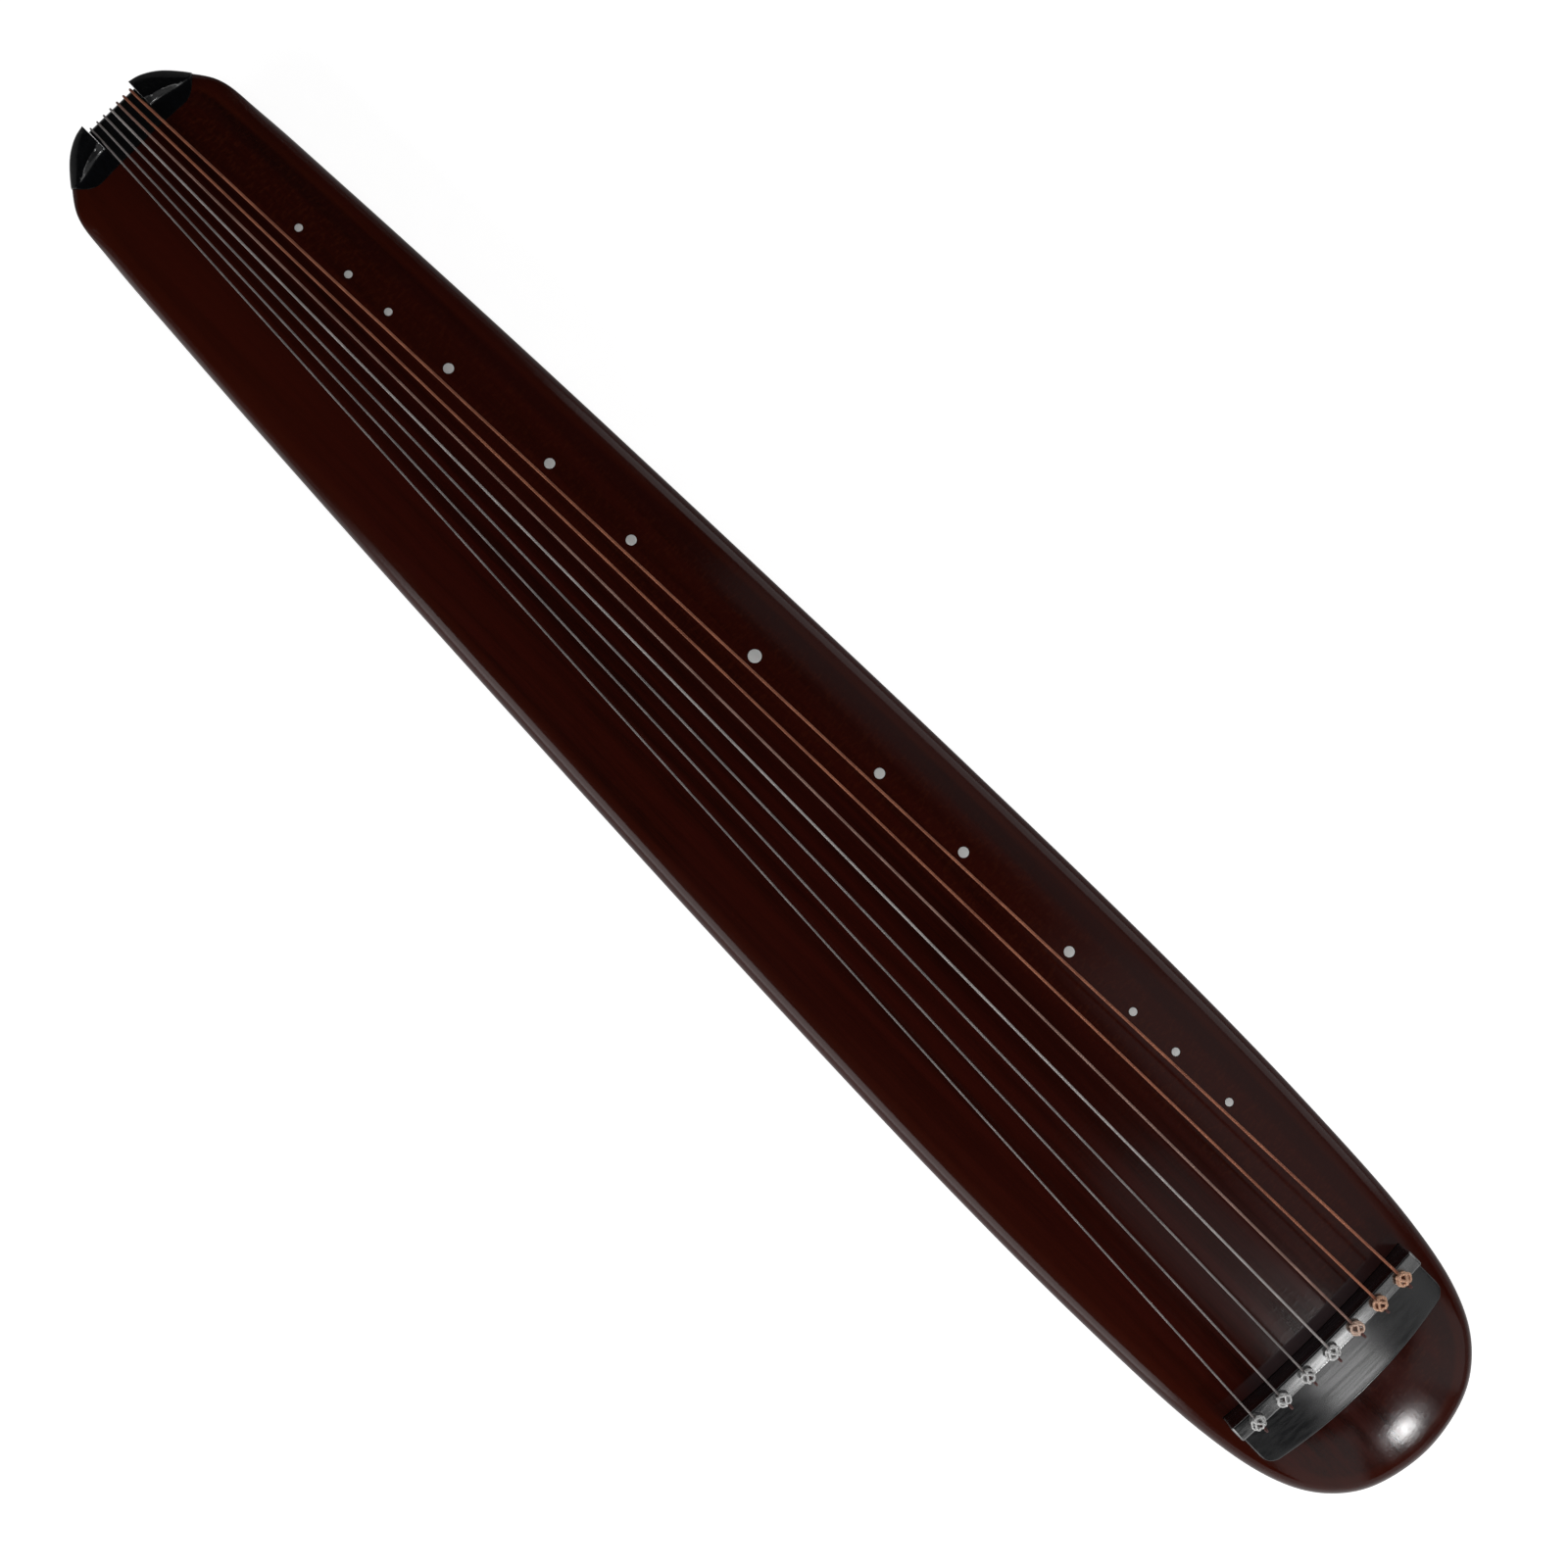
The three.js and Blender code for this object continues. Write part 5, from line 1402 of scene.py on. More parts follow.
@dataclass
class Tail:
    """Nut, crown corners and the lower nut at the tail."""

    shape: BodyShape
    finishes: Finishes
    overhang: float = 0.008
    crest_round: float = 0.004
    corner_straight: float = 0.038
    corner_sweep: float = 0.014
    ridge_height: float = 0.0065
    ridge_width: float = 0.0065
    ridge_setback: float = 0.0062
    ridge_sweep: float = 0.0065
    ridge_outer_share: float = 0.25
    ridge_back_share: float = 0.75
    ridge_power: float = 3.0
    nut_swing: float = 0.4
    nut_points: int = 12
    nut_stations: int = 9
    support_stations: int = 7
    corner_ease: float = 0.0006
    support_ease: float = 0.0005
    clear_share: float = 1.4
    rows: int = 36
    columns: int = 40

    def __post_init__(self) -> None:
        """Reads the places of the nut from the frame."""
        self.low, self.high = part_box("nut")
        self.inner_y = self.high.y + FIT_GAP
        self.outer_y = self.shape.half_width(self.high.x - self.corner_sweep)

    @staticmethod
    def crest_x() -> float:
        """X of the nut's crest, where the strings stop."""
        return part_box("nut")[0].x + Tail.overhang

    def front_x(self, y: float) -> float:
        """X of the front line of the black wood."""
        past = max(abs(y) - self.corner_straight, 0)
        return self.high.x - self.corner_sweep * (past / (self.outer_y - self.corner_straight)) ** 2

    def _edge(self) -> np.ndarray:
        """Outline of the +Y corner, from its outer end to the notch.

        Returns:
            X and y of each point.
        """
        outline = self.shape.outline
        side = outline[: len(outline) // 2 + 1]
        keep = side[(side[:, 1] > self.inner_y) & (side[:, 0] < self.front_x(self.outer_y))]
        ends = np.vstack([[self.front_x(self.outer_y), self.outer_y], keep, [-self.shape.head_x, self.inner_y]])
        steps = np.concatenate([[0], np.cumsum(np.linalg.norm(np.diff(ends, axis=0), axis=1))])
        even = np.linspace(0, steps[-1], self.columns)
        return np.column_stack([np.interp(even, steps, ends[:, k]) for k in (0, 1)])

    def rebate(self) -> Piece:
        """Cutter of the seat of the black wood.

        Returns:
            The cutter.
        """
        line = [(self.front_x(y) + FIT_GAP, y) for y in np.linspace(self.inner_y, self.outer_y, self.columns)]
        half, end = self.shape.width / 2, -self.shape.head_x - OVERRUN
        outer = line[-1][0]
        right = [(x, -y) for x, y in line[::-1]]
        outline = np.array([(end, -half), (outer, -half), *right, *line, (outer, half), (end, half)])
        clear = self.shape.stand + self.shape.depth * self.clear_share
        return prism("tail_rebate", outline, self.low.z - FIT_GAP, clear, self.finishes.black)

    def ridge(self, x: float, y: float) -> float:
        """Lift of the corner, which steps up along an S and stays raised behind it.

        Args:
            x: X of the place.
            y: Y of the place.

        Returns:
            Its height over the top of the body.
        """
        share = min(max((abs(y) - self.inner_y) / (self.outer_y - self.inner_y), 0), 1)
        swing = share * share * (3 - 2 * share)
        line_x = self.crest_x() + self.ridge_setback + self.ridge_sweep * swing
        away = (x - line_x) / self.ridge_width
        rise = self.ridge_height * (1 - (1 - self.ridge_outer_share) * share)
        if away > 0:
            return rise * max(1 - away, 0) ** self.ridge_power
        return rise * (self.ridge_back_share + (1 - self.ridge_back_share) * math.exp(-away * away / 2))

    def build_corner(self, side: Side) -> None:
        """Builds one crown corner as a grid from its front line to the outline.

        Args:
            side: Side that the corner is on.
        """
        edge = self._edge()
        ys = np.linspace(self.outer_y, self.inner_y, self.columns)
        points = []
        for row in np.linspace(0, 1, self.rows):
            for (to_x, to_y), y in zip(edge, ys):
                x, y = self.front_x(y) + (to_x - self.front_x(y)) * row, y + (to_y - y) * row
                points.append((x, side.value * y, self.shape.height(x, y) + self.ridge(x, y)))
        grid = len(points)
        points += [(x, y, self.low.z) for x, y, _ in points]
        faces = []
        for row in range(self.rows - 1):
            for column in range(self.columns - 1):
                a = row * self.columns + column
                quad = (a, a + self.columns, a + self.columns + 1, a + 1)
                faces += [quad, tuple(grid + i for i in quad[::-1])]
        last = (self.rows - 1) * self.columns
        border = [*range(self.columns), *range(2 * self.columns - 1, grid, self.columns),
                  *range(grid - 2, last - 1, -1), *range(last - self.columns, 0, -self.columns)]
        for a, b in zip(border, border[1:] + border[:1]):
            faces.append((a, b, grid + b, grid + a))
        corner = solid(f"crown_corner_{side.word}_carved", points, faces, self.finishes.black)
        bevel(corner, self.corner_ease, degrees=50)
        place(corner, Slot.BLACK_WOOD, f"crown_corner_{side.word}", crease=CUT_CREASE)

    def build_nut(self) -> None:
        """Builds the nut, rounded over at its tail end."""
        low, high, radius = self.low, self.high, self.crest_round
        front = float(self.shape.crown(high.x))
        profile = [(low.x, low.z), (high.x, low.z), (high.x, front)]
        for t in np.linspace(0, 1, self.nut_points)[1:]:
            swing = t * t * (3 - 2 * t)
            rise = swing * self.nut_swing + t * (1 - self.nut_swing)
            profile.append((high.x + (self.crest_x() - high.x) * t, front + (high.z - front) * rise))
        for angle in np.linspace(math.pi / 2, math.pi, BEND_POINTS):
            profile.append((low.x + radius + radius * math.cos(angle), high.z - radius + radius * math.sin(angle)))
        nut = self._across("nut_polished", profile, low.y, high.y, self.nut_stations)
        place(nut, Slot.BLACK_WOOD, "nut", crease=CUT_CREASE)

    def build_support(self) -> None:
        """Builds the lower nut that turns the strings under the body."""
        low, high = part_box("tail_support")
        radius = self.crest_round
        profile = [(low.x, high.z)]
        for angle in np.linspace(math.pi, 1.5 * math.pi, BEND_POINTS):
            profile.append((low.x + radius + radius * math.cos(angle), low.z + radius + radius * math.sin(angle)))
        profile += [(high.x, low.z), (high.x, high.z)]
        support = self._across("tail_support_polished", profile, low.y, high.y, self.support_stations)
        bevel(support, self.support_ease, degrees=60)
        place(support, Slot.BLACK_WOOD, "tail_support", crease=CUT_CREASE)

    def _across(self, name: str, profile: list[Row], low_y: float, high_y: float, stations: int) -> Piece:
        """Solid of one profile of x and z across the tail."""
        sections = [np.array([(x, y, z) for x, z in profile]) for y in np.linspace(low_y, high_y, stations)]
        return loft(name, sections, self.finishes.black_across)

    def build(self) -> None:
        """Builds the four pieces."""
        self.build_nut()
        for side in Side:
            self.build_corner(side)
        self.build_support()


def geometry_tree(name: str, inputs: dict[str, str]) -> tuple[Wiring, dict[str, Socket], Socket]:
    """Starts a geometry tree with named inputs.

    Args:
        name: Name of the tree.
        inputs: Socket types by input name, after the geometry.

    Returns:
        The wiring, the inputs by name, and the socket that the result goes into.
    """
    tree = bpy.data.node_groups.new(name, "GeometryNodeTree")
    tree.interface.new_socket(name="Geometry", in_out="INPUT", socket_type="NodeSocketGeometry")
    for socket, kind in inputs.items():
        tree.interface.new_socket(name=socket, in_out="INPUT", socket_type=kind)
    tree.interface.new_socket(name="Geometry", in_out="OUTPUT", socket_type="NodeSocketGeometry")
    wiring = Wiring(tree)
    entry = wiring.node("NodeGroupInput")
    given = {s.name: s for s in entry.outputs if s.name}
    finish = wiring.node("GeometryNodeSetMaterial", {"Material": given["Material"]})
    realize = wiring.node("GeometryNodeRealizeInstances")
    wiring.feed(finish.inputs["Geometry"], realize.outputs[0])
    wiring.feed(wiring.node("NodeGroupOutput").inputs[0], finish.outputs[0])
    return wiring, given, realize.inputs[0]


def run_tree(target: Piece, tree: Tree, **values: object) -> None:
    """Runs a geometry tree on an object and keeps the result as its mesh.

    Args:
        target: The object that the tree works on.
        tree: The geometry tree.
        **values: Values of its inputs, with underscores for spaces.
    """
    made = target.modifiers.new(tree.name, "NODES")
    made.node_group = tree
    for item in tree.interface.items_tree:
        key = item.name.replace(" ", "_")
        if item.in_out == "INPUT" and key in values:
            made[item.identifier] = values[key]
    settle(target)


class Growers:
    """Geometry trees for what follows a path or repeats."""

    def __init__(self) -> None:
        """Builds the trees once."""
        self.tube = self._tube()
        self.rope = self._rope()
        self.studs = self._studs()

    @staticmethod
    def _sweep(w: Wiring, curve: Socket, radius: Socket, sides: int, target: Socket) -> None:
        """Sweeps a circle along a curve and stores the length along and the turn around.

        Args:
            w: Wiring of the tree.
            curve: The curve.
            radius: Radius of the circle.
            sides: Points round the circle.
            target: Input that the mesh goes into.
        """
        circle = w.node("GeometryNodeCurvePrimitiveCircle", {"Resolution": sides, "Radius": radius}).outputs[0]
        kept = []
        for line, name, measure in ((curve, "along", "Length"), (circle, "around", "Factor")):
            value = w.node("GeometryNodeSplineParameter").outputs[measure]
            inputs = {"Geometry": line, "Name": name, "Value": value}
            kept.append(w.node("GeometryNodeStoreNamedAttribute", inputs, data_type="FLOAT").outputs[0])
        inputs = {"Curve": kept[0], "Profile Curve": kept[1], "Fill Caps": True}
        w.feed(target, w.node("GeometryNodeCurveToMesh", inputs).outputs[0])

    def _tube(self) -> Tree:
        """Round string along a chain of edges.

        Returns:
            The tree.
        """
        w, given, target = geometry_tree("round_string", {"Radius": FLOAT, "Material": "NodeSocketMaterial"})
        curve = w.node("GeometryNodeMeshToCurve", {"Mesh": given["Geometry"]}).outputs[0]
        sized = w.node("GeometryNodeSetCurveRadius", {"Curve": curve, "Radius": w.stored("girth")}).outputs[0]
        self._sweep(w, sized, given["Radius"], 14, target)
        return w.tree

    def _rope(self) -> Tree:
        """Strands twisted round a chain of edges.

        Returns:
            The tree.
        """
        inputs = {"Strands": "NodeSocketInt", "Strand Radius": FLOAT, "Twist Radius": FLOAT, "Lay": FLOAT,
                  "Material": "NodeSocketMaterial"}
        w, given, target = geometry_tree("twisted_cord", inputs)
        curve = w.node("GeometryNodeMeshToCurve", {"Mesh": given["Geometry"]}).outputs[0]
        copies = w.node("GeometryNodeDuplicateElements", {"Geometry": curve, "Amount": given["Strands"]},
                        domain="SPLINE")
        spline = w.node("GeometryNodeSplineParameter").outputs["Length"]
        turns = w.math("ADD", w.math("DIVIDE", spline, given["Lay"]),
                       w.math("DIVIDE", copies.outputs["Duplicate Index"], given["Strands"]))
        angle = w.times(turns, math.tau)
        normal = w.node("GeometryNodeInputNormal").outputs[0]
        side = w.vector("CROSS_PRODUCT", w.node("GeometryNodeInputTangent").outputs[0], normal)
        shifts = [w.vector("SCALE", way, Scale=w.times(w.math(wave, angle), given["Twist Radius"]))
                  for way, wave in ((normal, "COSINE"), (side, "SINE"))]
        inputs = {"Geometry": copies.outputs[0], "Offset": w.vector("ADD", *shifts)}
        moved = w.node("GeometryNodeSetPosition", inputs).outputs[0]
        self._sweep(w, moved, given["Strand Radius"], 8, target)
        return w.tree

    @staticmethod
    def _studs() -> Tree:
        """A stud of unit radius set at every point, turned to the point's up and scaled to its size.

        Returns:
            The tree.
        """
        w, given, target = geometry_tree("studs", {"Stud": "NodeSocketObject", "Material": "NodeSocketMaterial"})
        stud = w.node("GeometryNodeObjectInfo", {"Object": given["Stud"]}).outputs["Geometry"]
        up, size = w.stored("up", "FLOAT_VECTOR"), w.stored("size")
        turn = w.node("FunctionNodeAlignRotationToVector", {"Vector": up}, axis="Z").outputs[0]
        scale = w.node("ShaderNodeCombineXYZ", {"X": size, "Y": size, "Z": 1.0}).outputs[0]
        points = w.node("GeometryNodeMeshToPoints", {"Mesh": given["Geometry"]}).outputs[0]
        inputs = {"Points": points, "Instance": stud, "Rotation": turn, "Scale": scale}
        w.feed(target, w.node("GeometryNodeInstanceOnPoints", inputs).outputs[0])
        return w.tree

    def twist(self, name: str, line: np.ndarray, material: Finish) -> Piece:
        """Cord of two strands along a line.

        Args:
            name: Name of the object.
            line: Points of the line.
            material: Finish.

        Returns:
            The cord.
        """
        cord = chain(name, [(line, False, 1.0)])
        run_tree(cord, self.rope, Strands=2, Strand_Radius=CORD_RADIUS * STRAND_SHARE,
                 Twist_Radius=CORD_RADIUS * TWIST_SHARE, Lay=CORD_LAY, Material=material)
        return cord


@dataclass
class Studs:
    """Thirteen shell studs let into the board, each in a thin ring of dark filler."""

    shape: BodyShape
    finishes: Finishes
    growers: Growers
    proud: float = 0.00008
    sink: float = 0.0012
    pocket_depth: float = 0.0015
    edge_drop: float = 0.0003
    edge_share: float = 0.07
    domed: tuple[Row, ...] = ((0.5, 0.00012), (0.1, 0.00016))

    @staticmethod
    def radius(number: int) -> float:
        """Radius of a stud, from the frame."""
        low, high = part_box(f"hui_{number}")
        return (high.x - low.x) / 2

    @classmethod
    def pocket(cls, shape: BodyShape, number: int, material: Finish) -> Piece:
        """Cutter of the pocket that one stud sits in.

        Args:
            shape: Surface that the stud is let into.
            number: Number of the stud.
            material: Finish of the cut faces.

        Returns:
            The cutter.
        """
        x, y = middle(f"hui_{number}")
        cutter = rod("stud_pocket", 0, 0, cls.radius(number) + FIT_GAP, -cls.pocket_depth, OVERRUN, material)
        turn = shape.normal(x, y).to_track_quat("Z", "Y").to_matrix().to_4x4()
        cutter.data.transform(Matrix.Translation((x, y, shape.height(x, y))) @ turn)
        return cutter

    def build(self) -> None:
        """Sets every stud in its pocket."""
        nodes = [f"hui_{number}" for number in STUD_NUMBERS]
        places = [middle(node) for node in nodes]
        mesh = bpy.data.meshes.new("studs")
        mesh.from_pydata([(x, y, self.shape.height(x, y)) for x, y in places], [], [])
        ups = np.ravel([tuple(self.shape.normal(x, y)) for x, y in places])
        mesh.attributes.new("up", "FLOAT_VECTOR", "POINT").data.foreach_set("vector", ups)
        sizes = [self.radius(number) for number in STUD_NUMBERS]
        mesh.attributes.new("size", "FLOAT", "POINT").data.foreach_set("value", sizes)
        studs = link("hui_studs", mesh)
        edge = [(1.0, -self.sink), (1.0, self.proud - self.edge_drop)]
        edge += [(1 - self.edge_share * (1 - math.cos(a)), self.proud - self.edge_drop * (1 - math.sin(a)))
                 for a in np.linspace(0, math.pi / 2, 6)[1:]]
        edge += [(share, self.proud + rise) for share, rise in self.domed]
        template = turned("stud", edge, (0, 0), self.finishes.shell, sides=40)
        smooth(template, STUD_CREASE)
        run_tree(studs, self.growers.studs, Stud=template, Material=self.finishes.shell)
        bpy.data.objects.remove(template)
        place(studs, Slot.PEARL, *nodes)


def chain(name: str, lines: Sequence[tuple[np.ndarray, bool, float]]) -> Piece:
    """Object of edges along one or more lines.

    Args:
        name: Name of the object.
        lines: Points of each line, whether it closes on itself, and its girth as a share of the common one.

    Returns:
        The object, without faces.
    """
    points, edges, girths = [], [], []
    for line, closed, girth in lines:
        base = len(points)
        points += [tuple(p) for p in line]
        girths += [girth] * len(line)
        edges += [(base + i, base + i + 1) for i in range(len(line) - 1)]
        if closed:
            edges.append((base + len(line) - 1, base))
    mesh = bpy.data.meshes.new(name)
    mesh.from_pydata(points, edges, [])
    mesh.attributes.new("girth", "FLOAT", "POINT").data.foreach_set("value", girths)
    return link(name, mesh)


@dataclass
class Strings:
    """The seven strings, each with its knot, and the twisted cord that tightens it."""

    head: Head
    tail: Tail
    finishes: Finishes
    growers: Growers
    diameters: tuple[float, ...] = (0.0019, 0.0018, 0.0017, 0.0016, 0.0015, 0.0014, 0.0013)
    bridge_pitch: float = 0.0210585
    nut_pitch: float = 0.00617
    on_left_foot: int = 4
    copper_strings: int = 3
    knot_setback: float = 0.0066
    knot_length: float = 0.0104
    knot_width: float = 0.0122
    knot_height: float = 0.0062
    knot_radius: float = 0.0013
    knot_rounds: int = 3
    knot_bights: int = 4
    knot_rise: float = 1.15
    knot_weave: float = 0.16
    knot_points: int = 220
    crest_run: float = 0.002
    span_points: int = 24
    foot_turns: float = 1.4
    foot_gap: float = 0.0005
    foot_drop: float = 0.0008
    foot_neck_radius: float = 0.011
    foot_points: int = 60
    touch: float = 0.00004
    hole_dip: float = 0.0018

    def _offset(self, number: int, pitch: float) -> float:
        """Y of a string at a given pitch."""
        return (MIDDLE_STRING - number) * pitch

    def _windings(self) -> dict[int, tuple[Side, float, float]]:
        """Side, pitch and first height of each string's turns on its foot.

        Returns:
            Side, pitch and first height, by string number.
        """
        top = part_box("tail_support")[0].z - self.foot_drop
        cursor = dict.fromkeys(Side, top)
        made = {}
        for number in STRING_NUMBERS:
            side = Side.LEFT if number <= self.on_left_foot else Side.RIGHT
            diameter = self.diameters[number - 1]
            pitch = diameter + self.foot_gap
            start = cursor[side] - diameter / 2
            cursor[side] = start - self.foot_turns * pitch - diameter / 2 - self.foot_gap
            made[number] = (side, pitch, start)
        return made

    def _route(self, number: int) -> np.ndarray:
        """Line of a string from its knot to the end of its winding.

        Args:
            number: Number of the string.

        Returns:
            The points of the line.
        """
        lift = self.diameters[number - 1] / 2 + self.touch
        y0, y1 = self._offset(number, self.bridge_pitch), self._offset(number, self.nut_pitch)
        bridge_x, bridge_z, crest = self.head.bridge_low.x, self.head.bridge_top(y0) + lift, self.tail.high.z
        start = [(bridge_x + self.knot_setback, y0, bridge_z), (bridge_x + self.crest_run, y0, bridge_z)]
        span = np.linspace(0, 1, self.span_points)[1:, None]
        speaking = np.array(start[1]) * (1 - span) + np.array((self.tail.crest_x(), y1, crest + lift)) * span
        bend = self.tail.crest_round
        centre_x, turn = self.tail.low.x + bend, bend + lift
        upper, lower = (crest - bend, math.pi / 2), (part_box("tail_support")[0].z + bend, math.pi)
        bends = [(centre_x + turn * math.cos(a), y1, centre_z + turn * math.sin(a))
                 for centre_z, first in (upper, lower)
                 for a in np.linspace(first, first + math.pi / 2, BEND_POINTS)]
        side, pitch, first = self._windings()[number]
        x, y = middle(f"goose_foot_{side.word}")
        reach = self.foot_neck_radius + lift
        turns = np.linspace(0, self.foot_turns, self.foot_points)
        angles = side.value * (math.tau * turns - math.pi / 2)
        winding = np.column_stack([x + reach * np.cos(angles), y + reach * np.sin(angles), first - pitch * turns])
        return np.vstack([start, speaking, bends, winding])

    def _knot(self, number: int) -> np.ndarray:
        """Closed line of the fly-head knot on the bridge, woven round a flat ball.

        Args:
            number: Number of the string.

        Returns:
            The points of the line.
        """
        y = self._offset(number, self.bridge_pitch)
        reach = np.array([self.knot_length, self.knot_width, self.knot_height]) / 2 - self.knot_radius
        t = np.linspace(0, math.tau, self.knot_points, endpoint=False)
        around = self.knot_rounds * t + number
        rise = self.knot_rise * np.sin(self.knot_bights * t)
        swell = 1 - self.knot_weave * (1 + np.cos(self.knot_bights * self.knot_rounds * t)) / 2
        ball = np.column_stack([np.sin(rise), np.cos(rise) * np.cos(around), np.cos(rise) * np.sin(around)])
        centre = (self.head.bridge_low.x + self.knot_setback, y, self.head.bridge_top(y) + self.knot_height / 2)
        return np.array(centre) + ball * swell[:, None] * reach

    def _cord_route(self, number: int) -> np.ndarray:
        """Line of the twisted cord, from the knot down its hole to the peg.

        Args:
            number: Number of the string.

        Returns:
            The points of the line.
        """
        y = self._offset(number, self.bridge_pitch)
        low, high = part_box(f"peg_cord_{number}")
        x = high.x - CORD_RADIUS
        start_x = self.head.bridge_low.x + self.knot_setback
        start_z = self.head.bridge_top(y) + self.knot_height / 2
        plate_z = self.head.shape.height(x, y) + self.head.plate_rise
        run, fall = x - start_x, start_z - plate_z
        points = [
            (start_x, y, start_z),
            (start_x + 0.30 * run, y, start_z - CORD_RADIUS * 0.5),
            (start_x + 0.62 * run, y, start_z - CORD_RADIUS * 1.2),
            (start_x + 0.88 * run, y, start_z - 0.36 * fall),
            (x, y, start_z - 0.75 * fall),
            (x, y, plate_z - self.hole_dip),
            (x, y, low.z),
        ]
        return smooth_route(points, CORD_STEP)

    def build(self) -> None:
        """Builds every string and its cord."""
        for number in STRING_NUMBERS:
            radius = self.diameters[number - 1] / 2
            lines = [(self._route(number), False, 1.0), (self._knot(number), True, self.knot_radius / radius)]
            string = chain(f"string_{number}_wound", lines)
            run_tree(string, self.growers.tube, Radius=radius, Material=self.finishes.strings[Wire.of(number)])
            slot = Slot.COPPER if number <= self.copper_strings else Slot.SILVER
            place(string, slot, f"string_{number}")
            cord = self.growers.twist(f"peg_cord_{number}_twisted", self._cord_route(number), self.finishes.silk)
            place(cord, Slot.SILK, f"peg_cord_{number}")


@dataclass
class Pegs:
    """Seven fluted tuning pegs, each with its cord wound on the neck."""

    finishes: Finishes
    growers: Growers
    flutes: int = 8
    flute_depth: float = 0.07
    flute_power: int = 4
    wrap_turns: float = 1.75
    wrap_pitch: float = 0.0024
    wrap_gap: float = 0.0004
    wrap_start_share: float = 0.055
    neck_radius: float = 0.0056
    collar: float = 0.0044
    step: float = 0.0014
    neck: float = 0.0076
    hole_drop: float = 0.0078
    bore_depth: float = 0.0098
    top_radius: float = 0.0069
    bore_radius: float = 0.0018
    side_hole_radius: float = 0.0020

    def _profile(self, low: float, high: float, radius: float) -> list[Row]:
        """Radius and height of each ring of a peg.

        Args:
            low: Height of the peg's lower end.
            high: Height of its upper end.
            radius: Radius of the grip.

        Returns:
            The rings, from the lowest to the highest.
        """
        neck_top = high - self.collar - self.step
        neck_low = neck_top - self.neck
        waist, grip = low + 2 * self.collar, low + self.step
        ring, collar = self.top_radius, high - self.collar
        made = [(0.0046, low), (0.0060, low + 0.0003), (ring, low + 0.0009), (radius * 0.97, grip)]
        made += [(radius - 0.0006 * t ** 2, grip + (waist - low - self.step) * t) for t in np.linspace(0.1, 1, 6)]
        made += [(ring + 0.0003 * (1 - t), waist + (neck_low - self.step - waist) * t)
                 for t in np.linspace(0.2, 1, 4)]
        made += [(self.neck_radius + 0.0002, neck_low - 0.0003), (self.neck_radius, neck_low),
                 (self.neck_radius, neck_top), (self.neck_radius + 0.0005, neck_top + 0.0004)]
        made += [(ring - 0.0002, collar - 0.0002), (ring, collar + 0.0003), (ring, high - 0.0004), (0.0065, high)]
        return made

    def _wrap_line(self, centre: Sequence[float], high: float) -> np.ndarray:
        """Line of the cord out of the side hole and round the neck.

        Args:
            centre: Place of the peg's axis.
            high: Height of its upper end.

        Returns:
            The points of the line.
        """
        hole_z = high - self.hole_drop
        reach = self.neck_radius + self.wrap_gap + CORD_RADIUS
        points = [(self.bore_radius, 0, hole_z), (self.neck_radius - CORD_RADIUS, 0, hole_z),
                  (self.neck_radius + FIT_GAP, CORD_RADIUS * 2 / 3, hole_z)]
        for turns in np.linspace(self.wrap_start_share, self.wrap_turns, 40):
            angle = math.tau * turns
            points.append((reach * math.cos(angle), reach * math.sin(angle), hole_z - self.wrap_pitch * turns))
        return smooth_route(points, CORD_STEP) + np.array([centre[0], centre[1], 0])

    def build(self) -> None:
        """Builds the seven pegs with their windings."""
        black = self.finishes.black
        for number in STRING_NUMBERS:
            low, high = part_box(f"peg_{number}")
            centre, radius = middle(f"peg_{number}"), (high.y - low.y) / 2
            flute_top = low.z + 2 * self.collar

            def fluted(angle: float, height: float, top: float = flute_top, floor: float = low.z) -> float:
                """Share of the radius that the flutes leave."""
                away = abs((height - (top + floor) / 2) / ((top - floor) / 2))
                return scallop(angle, self.flutes, self.flute_depth, max(0.0, 1 - away ** self.flute_power))

            peg = turned(f"peg_{number}_fluted", self._profile(low.z, high.z, radius), centre, black, 64, fluted)
            bore = rod("bore", *centre, self.bore_radius, high.z - self.bore_depth, high.z + OVERRUN, black)
            side = rod("side_hole", 0, 0, self.side_hole_radius, 0, radius + OVERRUN, black)
            quarter = Matrix.Rotation(math.pi / 2, 4, "Y")
            side.data.transform(Matrix.Translation((*centre, high.z - self.hole_drop)) @ quarter)
            carve(peg, [bore, side])
            place(peg, Slot.BLACK_WOOD, f"peg_{number}", body=peg_body(number), crease=TURNED_CREASE)
            line = self._wrap_line(centre, high.z)
            wrap = self.growers.twist(f"peg_wrap_{number}_twisted", line, self.finishes.silk)
            place(wrap, Slot.SILK, f"peg_wrap_{number}", body=peg_body(number))


